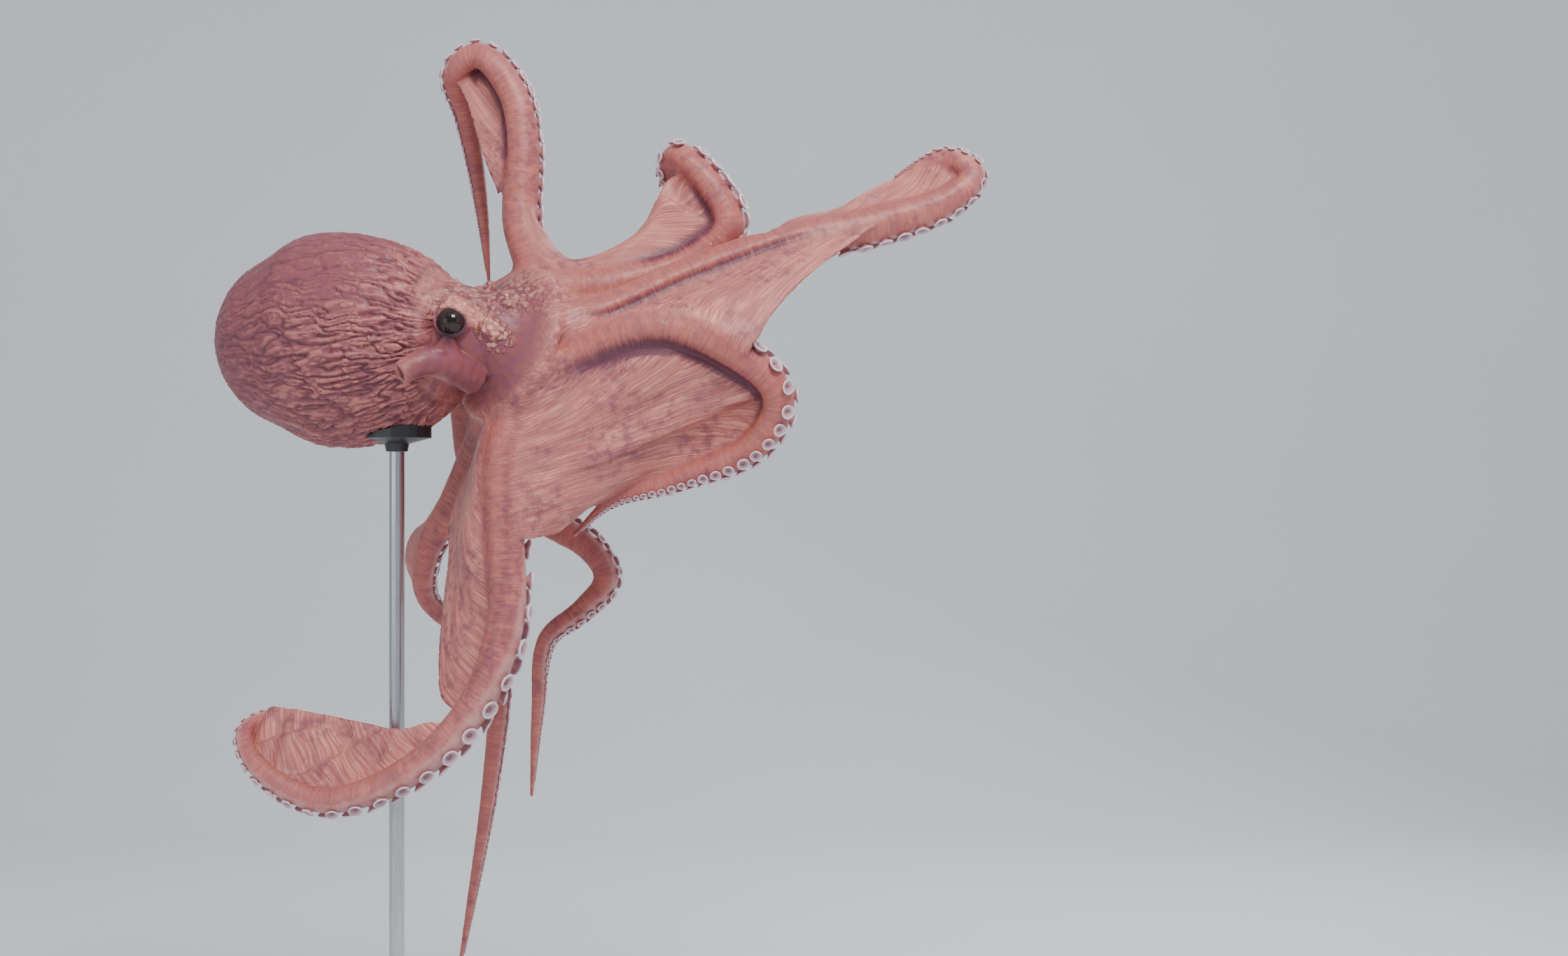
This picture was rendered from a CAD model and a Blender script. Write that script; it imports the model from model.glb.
"""The looks of a giant Pacific octopus, swimming, held on a display stand.

One skin covers the whole animal. It is made from plain blanks (arms, webs, mantle, head)
that are joined, remeshed into one surface, softened, given the relief of living skin and
then thinned. Suckers, eyes and the beak are pieces of their own.
"""
from __future__ import annotations

import logging
import math
from dataclasses import dataclass, field
from enum import Enum
from typing import Iterable, Sequence

import bmesh
import bpy
import numpy as np
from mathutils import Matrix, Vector
from mathutils.kdtree import KDTree


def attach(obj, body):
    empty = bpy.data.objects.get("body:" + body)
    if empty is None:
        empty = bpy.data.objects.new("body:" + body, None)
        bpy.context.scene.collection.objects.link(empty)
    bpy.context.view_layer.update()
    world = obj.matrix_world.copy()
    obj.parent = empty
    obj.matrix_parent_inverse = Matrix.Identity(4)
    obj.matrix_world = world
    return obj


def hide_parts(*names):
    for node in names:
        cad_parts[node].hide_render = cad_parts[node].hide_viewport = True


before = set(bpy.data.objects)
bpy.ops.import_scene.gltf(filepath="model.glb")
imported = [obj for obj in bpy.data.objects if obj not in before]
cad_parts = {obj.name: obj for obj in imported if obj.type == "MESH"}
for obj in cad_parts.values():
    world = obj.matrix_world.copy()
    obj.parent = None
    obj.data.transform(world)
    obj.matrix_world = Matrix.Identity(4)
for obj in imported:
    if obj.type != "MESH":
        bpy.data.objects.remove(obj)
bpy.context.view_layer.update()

Array = np.ndarray
Piece = bpy.types.Object
Material = bpy.types.Material
Socket = bpy.types.NodeSocket
Tree = bpy.types.NodeTree

log = logging.getLogger("octopus")
MM = 0.001
SEED = 20

# The crown that the arms grow from, as in the solids.
CROWN_MIDDLE = Vector((0.043, 0.050, 1.068))
MOUTH_AXIS = Vector((0.72, 0.62, -0.31)).normalized()
CROWN_UP = (Vector((0, 0, 1)) - MOUTH_AXIS * MOUTH_AXIS.z).normalized()
CROWN_SIDE = MOUTH_AXIS.cross(CROWN_UP)
CROWN_RADIUS = 0.067
CROWN_HALF_HEIGHT = 0.025
CROWN_BACK = 0.033

# The mantle and the head.
MANTLE_MIDDLE = Vector((-0.200, 0.070, 1.076))
BODY_AXIS = Vector((0.943, -0.331, 0.0)).normalized()
UP_HINT = Vector((-0.11, -0.31, 0.94))
BODY_UP = (UP_HINT - BODY_AXIS * UP_HINT.dot(BODY_AXIS)).normalized()
MANTLE_REAR = 0.178
MANTLE_FRONT = 0.196
MANTLE_HALF_HEIGHT = 0.148
MANTLE_HALF_WIDTH = 0.118
MANTLE_CUT = 0.146
MANTLE_BELLY = 0.93
MANTLE_TAPER = 1.2
MANTLE_FULLNESS = 0.9
MANTLE_DIP = 0.06
HEAD_HALF_HEIGHT = (0.094, 0.082, 0.074, 0.068, 0.063, 0.058, 0.054, 0.051)
HEAD_HALF_WIDTH = (0.076, 0.066, 0.061, 0.058, 0.056, 0.054, 0.052, 0.051)
FUNNEL_PATH = (
    (-0.010, -0.008, 1.030), (-0.040, -0.054, 1.044), (-0.063, -0.076, 1.045), (-0.090, -0.092, 1.030),
)
FUNNEL_RADII = (0.024, 0.0205, 0.018, 0.0145)

# Arms: their courses are the solids' own, in millimetres, with the way the suckers face.
RINGS = 24
FINE = 6
ARM_HALF_WIDTH = 0.0245
ARM_HALF_HEIGHT = 0.027
TIP_RADIUS = 0.0022
FLANK = -0.58                   # where webs leave an arm, out of its sucker side
FLANK_IN = 0.86                 # and across it
SHOULDER_OUT = 0.022
SHOULDER_FORWARD = 0.005
ARM_ORDER = ("L2", "L1", "R1", "R2", "R3", "R4", "L4", "L3")
FIRST_ARM_ANGLE = -67.5
ARM_STEP = 45.0
TAPER = {"L2": 1.7, "L1": 2.0, "R1": 4.4, "R2": 5.5, "R3": 2.6, "R4": 2.6, "L4": 1.8, "L3": 1.7}
COURSES = {
    "L1": (
        ((54, 95, 1170), (0.5, 0.85, 0.0)), ((33, 120, 1243), (0.35, 0.93, 0.05)),
        ((35, 133, 1345), (0.6, 0.8, 0.1)), ((22, 141, 1419), (0.75, 0.55, 0.35)),
        ((-26, 153, 1472), (0.0, 0.55, 0.85)), ((-61, 168, 1450), (-0.85, 0.5, 0.2)),
        ((-52, 201, 1405), (-0.85, 0.5, 0.1)), ((-40, 213, 1340), (-0.85, 0.5, 0.1)),
        ((-30, 212, 1268), (-0.85, 0.5, 0.0)), ((-19, 200, 1168), (-0.8, 0.6, 0.0)),
    ),
    "R1": (
        ((134, 64, 1148), (0.3, 0.9, -0.2)), ((206, 92, 1168), (0.2, 0.95, -0.1)),
        ((268, 104, 1193), (0.25, 0.95, -0.1)), ((312, 102, 1236), (0.4, 0.9, 0.1)),
        ((284, 104, 1296), (0.3, 0.85, 0.3)), ((246, 118, 1331), (-0.1, 0.8, 0.6)),
        ((231, 148, 1317), (-0.8, 0.5, 0.1)), ((242, 174, 1280), (-0.6, 0.5, -0.6)),
        ((274, 174, 1276), (0.6, 0.5, -0.6)),
    ),
    "R2": (
        ((154, 18, 1110), (0.3, 0.95, -0.3)), ((277, 50, 1167), (0.05, 0.9, -0.4)),
        ((411, 70, 1211), (0.1, 0.75, -0.6)), ((529, 88, 1240), (0.2, 0.6, -0.75)),
        ((606, 98, 1269), (0.5, 0.45, -0.7)), ((640, 108, 1304), (0.95, 0.3, 0.1)),
        ((606, 122, 1330), (0.0, 0.3, 0.95)), ((536, 142, 1306), (-0.3, 0.3, 0.9)),
    ),
    "R3": (
        ((141, -20, 1062), (0.2, 0.95, -0.1)), ((232, -35, 1089), (0.2, 0.95, 0.15)),
        ((321, -35, 1060), (0.4, 0.75, 0.5)), ((379, -20, 1005), (0.75, 0.6, -0.1)),
        ((353, 0, 944), (0.6, 0.5, -0.6)), ((253, 20, 899), (0.15, 0.6, -0.75)),
        ((161, 34, 868), (0.05, 0.6, -0.75)), ((112, 42, 824), (0.3, 0.6, -0.75)),
    ),
    "R4": (
        ((29, 0, 942), (0.4, 0.9, 0.1)), ((31, -15, 819), (0.55, 0.8, 0.05)),
        ((33, -25, 714), (0.85, 0.25, -0.2)), ((-8, -30, 607), (0.75, -0.3, -0.6)),
        ((-93, -30, 524), (0.35, -0.3, -0.9)), ((-201, -20, 488), (-0.05, -0.15, -1.0)),
        ((-284, -5, 524), (-0.7, -0.1, -0.7)), ((-316, 35, 569), (-0.95, 0.0, 0.1)),
        ((-282, 85, 588), (-0.1, 0.2, 0.95)), ((-209, 110, 561), (0.1, 0.3, 0.9)),
    ),
    "L4": (
        ((-18, 110, 943), (0.8, 0.5, -0.1)), ((-60, 155, 866), (0.85, 0.5, -0.1)),
        ((-103, 190, 798), (0.85, 0.5, -0.1)), ((-108, 220, 733), (0.9, 0.3, 0.2)),
        ((-59, 235, 692), (0.0, 0.3, 0.95)), ((-7, 240, 714), (-0.8, 0.2, 0.5)),
        ((2, 240, 763), (-0.9, 0.3, 0.0)),
    ),
    "L3": (
        ((-14, 146, 1002), (0.6, 0.7, 0.3)), ((-2, 198, 925), (0.75, 0.4, 0.45)),
        ((48, 218, 850), (0.6, 0.2, 0.75)), ((118, 216, 804), (0.7, 0.2, 0.65)),
        ((142, 215, 762), (0.95, 0.1, 0.0)), ((107, 220, 718), (0.5, -0.1, -0.8)),
        ((57, 225, 676), (0.85, 0.0, -0.4)), ((44, 230, 573), (0.9, 0.3, 0.0)),
        ((36, 230, 457), (0.9, 0.3, 0.0)),
    ),
    "L2": (
        ((-18, 146, 1113), (0.6, 0.6, 0.5)), ((-47, 200, 1077), (0.6, 0.7, 0.3)),
        ((-56, 260, 964), (0.7, 0.7, 0.0)), ((-34, 280, 802), (0.8, 0.6, 0.0)),
        ((-17, 285, 621), (0.9, 0.4, 0.0)), ((-30, 280, 459), (0.9, 0.4, 0.0)),
        ((-70, 260, 202), (0.9, 0.3, -0.2)),
    ),
}
# Webs: the two arms, the rings that the free edge's ends are held at, and those that its
# middle hangs at.
WEBS = (
    ("L1", "R1", 5, 18, 4.0, 4.8),
    ("R1", "R2", 12, 10, 10.0, 8.6),
    ("R2", "R3", 15, 10, 11.0, 9.6),
    ("R3", "R4", 22, 5, 17.6, 4.2),
    ("R4", "L4", 11, 7, 8.0, 5.0),
    ("L4", "L3", 8, 8, 6.0, 6.0),
    ("L3", "L2", 8, 7, 5.5, 5.0),
    ("L2", "L1", 5, 2.2, 3.6, 2.0),
)
# Free edges that are given, in millimetres, from one arm to the other.
WEB_EDGES = {
    "L1_R1": ((76, 108, 1216), (96, 106, 1194), (130, 106, 1178), (157, 106, 1187), (189, 107, 1212),
              (208, 108, 1253), (221, 108, 1281), (232, 116, 1302)),
    "R3_R4": ((114, 24, 852), (104, 10, 840), (95, -2, 830)),
    "R4_L4": ((-57, 15, 618), (-61, 26, 660), (-60, 42, 713), (-57, 60, 763), (-56, 85, 805),
              (-62, 118, 838)),
}
WEB_FULLNESS = 0.55
WEB_EDGE_SHARPNESS = 2.4
WEB_EDGE_PULL = 2.0             # how late a web bends to meet its given edge
# Free folds: the arm, its side, first and last ring, the free edge and the number of pleats.
FOLDS = (
    ("L1", 1, 5.6, 14, ((2, 131, 1276), (-4, 134, 1293), (-16, 141, 1328), (-30, 149, 1366),
                        (-37, 152, 1390), (-45, 155, 1414), (-60, 160, 1440), (-72, 164, 1452)), 0),
    ("R2", 1, 10.4, 20.6, ((386, 82, 1238), (424, 90, 1250), (460, 96, 1263), (497, 106, 1281),
                           (532, 122, 1301), (556, 126, 1316), (578, 124, 1328), (602, 120, 1334)), 3),
    ("R4", -1, 11.4, 21.0, ((-62, 8, 586), (-78, 12, 583), (-110, 12, 576), (-149, 20, 582),
                            (-190, 26, 590), (-229, 32, 596), (-262, 42, 600), (-288, 56, 598)), 7),
    ("L4", -1, 9, 15, ((-88, 205, 852), (-128, 215, 822), (-138, 225, 782), (-124, 232, 742)), 0),
)


# Dark furrows along the arms' backs: place and width across in half widths, strength, and the
# rings where they fade in and out.
GROOVES = {"R3": (-0.84, 0.50, 1.0, 0.8, 13.5), "R2": (-0.45, 0.22, 0.80, 1.0, 12.0),
           "R1": (0.78, 0.40, 0.85, 6.0, 17.0), "R4": (0.70, 0.30, 0.40, 1.0, 11.0),
           "L1": (0.80, 0.40, 0.85, 6.5, 15.0), "L4": (0.60, 0.30, 0.40, 1.0, 11.0)}
# Suckers of single arms: largest radius, spacing in radii, the ring from which they turn to
# the front, and how far in radians.
SUCKER_WAYS = {"R4": (0.0138, 2.95, 0.0, 0.0), "R3": (0.0124, 2.20, 9.5, 1.10),
               "R1": (0.0138, 2.10, 7.5, 0.90), "R2": (0.0120, 2.30, 12.0, 0.45),
               "L1": (0.0118, 1.75, 4.0, 0.35)}
# The two soft knobs on top of the head: middles and half sizes in metres.
LOBES = (((0.030, 0.003, 1.120), (0.024, 0.026, 0.0220)),
         ((0.0065, 0.014, 1.140), (0.0090, 0.0090, 0.0150)))
# The flap of the mantle's open edge over the funnel, in millimetres.
FLAP = ((-104, -84, 1066), (-84, -95, 1080), (-62, -92, 1077), (-38, -80, 1064))


def smoothstep(low: float, high: float, value: Array) -> Array:
    """Eases value from 0 at low to 1 at high."""
    share = np.clip((value - low) / (high - low), 0.0, 1.0)
    return share * share * (3 - 2 * share)


def unit(rows: Array) -> Array:
    """Scales each row of an array to length 1."""
    return rows / np.maximum(np.linalg.norm(rows, axis=-1, keepdims=True), 1e-9)


def catmull(guides: list, knots: list, k: int, t: float) -> Vector:
    """Centripetal Catmull-Rom value between guides k and k + 1.

    Args:
        guides: points of the curve, with one extra before and after.
        knots: the curve's parameter at each guide.
        k: index of the guide before the wanted point.
        t: parameter of the wanted point.

    Returns:
        The point on the curve.
    """
    def blend(a: Vector, b: Vector, low: float, high: float) -> Vector:
        """The value between a and b at t."""
        return a * ((high - t) / (high - low)) + b * ((t - low) / (high - low))
    first = [blend(guides[k + i], guides[k + i + 1], knots[k + i], knots[k + i + 1]) for i in (-1, 0, 1)]
    second = [blend(first[i], first[i + 1], knots[k + i - 1], knots[k + i + 1]) for i in (0, 1)]
    return blend(second[0], second[1], knots[k], knots[k + 1])


def smooth_course(points: Sequence[Vector], steps: int) -> tuple:
    """Evenly spaced samples of a smooth curve through some points.

    Args:
        points: the points that the curve passes.
        steps: how many equal lengths the curve is cut into.

    Returns:
        The samples, each a point and its share of the way in numbers of points, and the
        curve's length.
    """
    guides = [Vector(p) for p in points]
    guides = [guides[0] * 2 - guides[1]] + guides + [guides[-1] * 2 - guides[-2]]
    knots = [0.0]
    for a, b in zip(guides, guides[1:]):
        knots.append(knots[-1] + max((b - a).length, 1e-6) ** 0.5)
    spans = 20
    fine = []
    for k in range(1, len(guides) - 2):
        for step in range(spans + (k == len(guides) - 3)):
            fine.append(catmull(guides, knots, k, knots[k] + (knots[k + 1] - knots[k]) * step / spans))
    travelled = [0.0]
    for a, b in zip(fine, fine[1:]):
        travelled.append(travelled[-1] + (b - a).length)
    samples = []
    k = 0
    for step in range(steps + 1):
        goal = travelled[-1] * step / steps
        while k < len(fine) - 2 and travelled[k + 1] < goal:
            k += 1
        share = (goal - travelled[k]) / (travelled[k + 1] - travelled[k])
        samples.append((fine[k].lerp(fine[k + 1], share), (k + share) / spans))
    return samples, travelled[-1]


def funnel_line(steps: int) -> tuple:
    """The funnel's middle line.

    Args:
        steps: how many lengths it is cut into.

    Returns:
        Points along it, and its radius at each.
    """
    samples, length = smooth_course([Vector(p) for p in FUNNEL_PATH], steps)
    middles = np.array([point for point, share in samples])
    radii = np.interp([share for point, share in samples], range(len(FUNNEL_RADII)), FUNNEL_RADII)
    return middles, radii


def turn_outward(mesh: bpy.types.Mesh) -> None:
    """Turns a mesh's faces outward.

    Args:
        mesh: the mesh.
    """
    shell = bmesh.new()
    shell.from_mesh(mesh)
    bmesh.ops.recalc_face_normals(shell, faces=shell.faces)
    shell.to_mesh(mesh)
    shell.free()


def deselect() -> None:
    """Leaves nothing selected and nothing active."""
    for item in bpy.context.selected_objects:
        item.select_set(False)
    bpy.context.view_layer.objects.active = None


def add_mesh(name: str, points: Array, faces: Iterable, outward: bool = True) -> Piece:
    """Makes an object from points and faces.

    Args:
        name: the object's name.
        points: the corners' places.
        faces: tuples of corner numbers.
        outward: whether the faces are turned outward first.

    Returns:
        The new object, linked to the scene.
    """
    mesh = bpy.data.meshes.new(name)
    mesh.from_pydata([tuple(p) for p in points], [], [tuple(int(i) for i in f) for f in faces])
    if outward:
        turn_outward(mesh)
    made = bpy.data.objects.new(name, mesh)
    bpy.context.scene.collection.objects.link(made)
    mesh.polygons.foreach_set("use_smooth", np.ones(len(mesh.polygons), dtype=bool))
    return made


def grid_faces(rows: int, columns: int, wrap: bool) -> list:
    """Faces of a grid of corners numbered row by row.

    Args:
        rows: number of rows of corners.
        columns: number of corners in a row.
        wrap: whether each row closes on itself.

    Returns:
        A list of four-cornered faces.
    """
    faces = []
    for r in range(rows - 1):
        for c in range(columns if wrap else columns - 1):
            d = (c + 1) % columns
            faces.append((r * columns + c, r * columns + d, (r + 1) * columns + d, (r + 1) * columns + c))
    return faces


def loft(name: str, rings: Array) -> Piece:
    """A closed solid through rings of corners.

    Args:
        name: the object's name.
        rings: an array of rings, each an array of corners.

    Returns:
        The new object.
    """
    count = rings.shape[1]
    points = rings.reshape(-1, 3)
    ends = np.stack([rings[0].mean(axis=0), rings[-1].mean(axis=0)])
    faces = grid_faces(len(rings), count, True)
    last = (len(rings) - 1) * count
    for first, middle in ((0, len(points)), (last, len(points) + 1)):
        faces += [(first + i, first + (i + 1) % count, middle) for i in range(count)]
    return add_mesh(name, np.concatenate([points, ends]), faces)


def sheet(name: str, middle: Array, thickness: Array) -> Piece:
    """A closed sheet about a grid of points.

    Args:
        name: the object's name.
        middle: grid of points, rows by columns by 3.
        thickness: the sheet's thickness at each point of the grid.

    Returns:
        The new object.
    """
    rows, columns = middle.shape[:2]
    down = np.gradient(middle, axis=0)
    over = np.gradient(middle, axis=1)
    normal = unit(np.cross(over, down))
    offset = normal * thickness[..., None] / 2
    points = np.concatenate([(middle + offset).reshape(-1, 3), (middle - offset).reshape(-1, 3)])
    count = rows * columns
    top = grid_faces(rows, columns, False)
    faces = top + [tuple(i + count for i in reversed(f)) for f in top]
    rim = [c for c in range(columns)] + [r * columns + columns - 1 for r in range(1, rows)]
    rim += [(rows - 1) * columns + c for c in range(columns - 2, -1, -1)]
    rim += [r * columns for r in range(rows - 2, 0, -1)]
    faces += [(b, a, a + count, b + count) for a, b in zip(rim, rim[1:] + rim[:1])]
    return add_mesh(name, points, faces)


class Noise:
    """Seeded smooth noise, evaluated for many points at once."""

    def __init__(self, seed: int) -> None:
        """Draws the table of slopes.

        Args:
            seed: number that fixes the pattern.
        """
        self.slopes = unit(np.random.default_rng(seed).normal(size=(256, 3)))
        self.seed = seed

    def at(self, points: Array) -> Array:
        """Noise from about -1 to 1, with features about 1 unit apart.

        Args:
            points: an array of places.

        Returns:
            One number for each place.
        """
        cell = np.floor(points).astype(np.int64)
        inside = points - cell
        ease = inside ** 3 * (inside * (inside * 6 - 15) + 10)
        total = np.zeros(len(points))
        for corner in np.ndindex(2, 2, 2):
            spot = cell + np.array(corner)
            code = spot[:, 0] * 73856093 ^ spot[:, 1] * 19349663 ^ spot[:, 2] * 83492791 ^ self.seed * 2654435
            slope = self.slopes[(code ^ (code >> 13)) & 255]
            weight = np.prod(np.where(np.array(corner) == 1, ease, 1 - ease), axis=1)
            total += weight * np.einsum("ij,ij->i", slope, inside - np.array(corner))
        return total * 1.6

    def ridges(self, points: Array, octaves: int = 2) -> Array:
        """Sharp-crested noise from 0 in the grooves to 1 on the crests.

        Args:
            points: an array of places.
            octaves: how many finer copies are added.

        Returns:
            One number for each place.
        """
        total = np.zeros(len(points))
        whole = 0.0
        for octave in range(octaves):
            share = 0.5 ** octave
            total += share * (1 - np.abs(self.at(points * 2.1 ** octave + 17.3 * octave)))
            whole += share
        return total / whole

    def cells(self, points: Array) -> Array:
        """Distance to the nearest of scattered middles, about one to each unit cell.

        Args:
            points: an array of places.

        Returns:
            One distance for each place.
        """
        cell = np.floor(points).astype(np.int64)
        nearest = np.full(len(points), 9.0)
        for step in np.ndindex(3, 3, 3):
            spot = cell + np.array(step) - 1
            code = spot[:, 0] * 73856093 ^ spot[:, 1] * 19349663 ^ spot[:, 2] * 83492791 ^ self.seed * 7919
            jitter = self.slopes[(code ^ (code >> 11)) & 255] * 0.42
            nearest = np.minimum(nearest, np.linalg.norm(spot + 0.5 + jitter - points, axis=1))
        return nearest


class Arm:
    """One arm: its course from the crown to the tip, with a frame and a size at each ring."""

    def __init__(self, name: str, angle: float) -> None:
        """Samples the arm's course.

        Args:
            name: the arm's name, such as R3.
            angle: where round the crown it grows, in radians.
        """
        self.name = name
        out = CROWN_UP * math.cos(angle) + CROWN_SIDE * math.sin(angle)
        root = CROWN_MIDDLE + out * CROWN_RADIUS
        shoulder = root + out * SHOULDER_OUT + MOUTH_AXIS * SHOULDER_FORWARD
        course = [(root / MM, MOUTH_AXIS), (shoulder / MM, MOUTH_AXIS)] + list(COURSES[name])
        steps = RINGS * FINE
        samples, self.length = smooth_course([Vector(place) * MM for place, facing in course], steps)
        facings = np.array([Vector(facing).normalized() for place, facing in course])
        self.middles = np.array([point for point, share in samples])
        along = unit(np.gradient(self.middles, axis=0))
        shares = np.array([share for point, share in samples])
        station = np.minimum(shares.astype(int), len(facings) - 2)
        ease = smoothstep(0, 1, shares - station)[:, None]
        facing = facings[station] * (1 - ease) + facings[station + 1] * ease
        facing = unit(facing - along * np.sum(facing * along, axis=1, keepdims=True))
        blend = smoothstep(0, 1.5 * FINE, np.arange(steps + 1.0))[:, None]
        along = unit(np.array(out) * (1 - blend) + along * blend)
        self.along = along
        self.mouthward = unit(facing - along * np.sum(facing * along, axis=1, keepdims=True))
        self.across = np.cross(along, self.mouthward)
        share = np.arange(steps + 1) / steps
        self.sizes = 1 - (1 - TIP_RADIUS / ARM_HALF_WIDTH) * share ** TAPER[name]

    def at(self, values: Array, ring: Array) -> Array:
        """Values of one of the arm's arrays at whole or part ring numbers.

        Args:
            values: the array, with one row for each fine ring.
            ring: ring numbers, from 0 to RINGS.

        Returns:
            The interpolated rows.
        """
        place = np.clip(np.asarray(ring, dtype=float) * FINE, 0, RINGS * FINE)
        low = np.minimum(place.astype(int), RINGS * FINE - 1)
        share = place - low
        if values.ndim > 1:
            share = share[..., None]
        return values[low] * (1 - share) + values[low + 1] * share

    def flank(self, ring: Array, side: int, depth: float = FLANK_IN) -> Array:
        """Points on the arm's flank, toward its back.

        Args:
            ring: ring numbers.
            side: 1 or -1, the flank that faces the arm before or after.
            depth: share of the half width; less than 1 is inside the arm.

        Returns:
            One point for each ring number.
        """
        size = self.at(self.sizes, ring)[..., None]
        sideways = self.at(self.across, ring) * (side * ARM_HALF_WIDTH * depth) * size
        outward = self.at(self.mouthward, ring) * (FLANK * ARM_HALF_HEIGHT) * size
        return self.at(self.middles, ring) + sideways + outward

    def blank(self) -> Piece:
        """The arm's plain tube, rounded on the back and flatter on the sucker side.

        Returns:
            The new object.
        """
        turn = np.linspace(0, math.tau, 28, endpoint=False)
        x = np.cos(turn)
        y = np.sin(turn)
        y = np.where(y > 0, 0.86 * np.sign(y) * np.abs(y) ** 0.8, y * 0.97)
        wide = (self.sizes * ARM_HALF_WIDTH)[:, None, None]
        high = (self.sizes * ARM_HALF_HEIGHT)[:, None, None]
        rings = (self.middles[:, None, :] + self.across[:, None, :] * wide * x[None, :, None]
                 + self.mouthward[:, None, :] * high * y[None, :, None])
        root = rings[:1] - self.along[0] * 0.030
        return loft(f"blank_{self.name}", np.concatenate([root, rings]))


@dataclass
class Web:
    """The web between two neighbouring arms, with its hollow free edge."""

    here: Arm
    there: Arm
    near_end: float
    far_end: float
    near_mid: float
    far_mid: float
    rows: int = 90
    columns: int = 44
    start: float = 0.6
    thick: float = 0.0036
    thin: float = 0.0030

    def middles(self) -> Array:
        """The web's middle surface as a grid: rows out from the crown, columns arm to arm.

        Returns:
            An array of rows, columns and three.
        """
        v = np.linspace(0, 1, self.rows)[:, None]
        u = np.linspace(0, 1, self.columns)[None, :]
        near, far = self.reach(u, v)
        start, end = self.here.flank(near, -1), self.there.flank(far, 1)
        reach = np.linalg.norm(end - start, axis=-1, keepdims=True) * WEB_FULLNESS
        leave = -self.here.at(self.here.across, near) * reach
        arrive = -self.there.at(self.there.across, far) * reach
        u = u[..., None]
        a = u * u * (3 - 2 * u)
        middle = start * (1 - a) + end * a + leave * (u * (1 - u) ** 2) + arrive * (u * u * (u - 1))
        guides = WEB_EDGES.get(f"{self.here.name}_{self.there.name}", ())
        if guides:
            places = [Vector(middle[-1, 0])] + [Vector(p) * MM for p in guides] + [Vector(middle[-1, -1])]
            samples, length = smooth_course(places, self.columns - 1)
            pull = np.array([point for point, share in samples]) - middle[-1]
            middle = middle + pull[None] * (v ** WEB_EDGE_PULL)[..., None]
        return middle

    def reach(self, u: Array, v: Array) -> tuple:
        """How far along each arm a place of the web is held.

        Args:
            u: share of the way from one arm to the other.
            v: share of the way from the crown to the free edge.

        Returns:
            Ring numbers on the two arms.
        """
        near_stop = self.near_mid + (self.near_end - self.near_mid) * (1 - u) ** WEB_EDGE_SHARPNESS
        far_stop = self.far_mid + (self.far_end - self.far_mid) * u ** WEB_EDGE_SHARPNESS
        return self.start + (near_stop - self.start) * v, self.start + (far_stop - self.start) * v

    def blank(self) -> Piece:
        """The web as a closed sheet whose sides run into both arms.

        Returns:
            The new object.
        """
        v = np.linspace(0, 1, self.rows)[:, None]
        near, far = self.reach(np.array([[0.0, 1.0]]), v)
        inner = self.here.flank(near[:, :1], -1, 0.35)
        outer = self.there.flank(far[:, -1:], 1, 0.35)
        middle = np.concatenate([inner, self.middles(), outer], axis=1)
        across = np.linspace(-1, 1, self.columns + 2)[None, :]
        thickness = self.thin + (self.thick - self.thin) * np.abs(across) ** 3 + 0 * v
        return sheet(f"blank_web_{self.here.name}_{self.there.name}", middle, thickness)


@dataclass
class Fold:
    """A free fold of loose web along one side of an arm."""

    arm: Arm
    side: int
    first: float
    last: float
    edge: tuple
    pleats: int = 0
    rows: int = 70
    columns: int = 24
    thickness: float = 0.0030
    pleat_depth: float = 0.0030
    end_width: float = 0.005

    def blank(self) -> Piece:
        """The fold as a closed sheet, pleated across where it has pleats.

        Returns:
            The new object.
        """
        coarse = self.last - self.first
        places = [self.arm.flank(np.array(float(self.first)), self.side)]
        places += [np.array(p) * MM for p in self.edge]
        places += [self.arm.flank(np.array(float(self.last)), self.side)]
        samples, length = smooth_course([Vector(p) for p in places], self.rows - 1)
        edge = np.array([point for point, share in samples])
        v = np.linspace(0, 1, self.rows)
        ring = self.first + coarse * v
        start = self.arm.flank(ring, self.side)
        leave = self.arm.at(self.arm.across, ring) * self.side
        fade = smoothstep(0, 0.5 / coarse, np.minimum(v, 1 - v))[:, None]
        target = start + leave * self.end_width * (1 - fade) + (edge - start) * fade
        reach = np.linalg.norm(target - start, axis=-1, keepdims=True) * WEB_FULLNESS
        u = np.linspace(0, 1, self.columns)[None, :, None]
        a = u * u * (3 - 2 * u)
        middle = (start[:, None] * (1 - a) + target[:, None] * a
                  + (leave * reach)[:, None] * (u * (1 - u) ** 2)
                  + (target - start)[:, None] * (0.8 * u * u * (u - 1)))
        if self.pleats:
            normal = unit(np.cross(np.gradient(middle, axis=1), np.gradient(middle, axis=0)))
            wave = np.cos(math.tau * self.pleats * v)[:, None, None] * np.sin(math.pi * u * 0.86)
            wave = wave * fade[:, None]
            middle = middle + normal * wave * self.pleat_depth
        inner = self.arm.flank(ring, self.side, 0.35)[:, None]
        middle = np.concatenate([inner, middle], axis=1)
        thickness = np.full(middle.shape[:2], self.thickness)
        return sheet(f"blank_fold_{self.arm.name}", middle, thickness)


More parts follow.
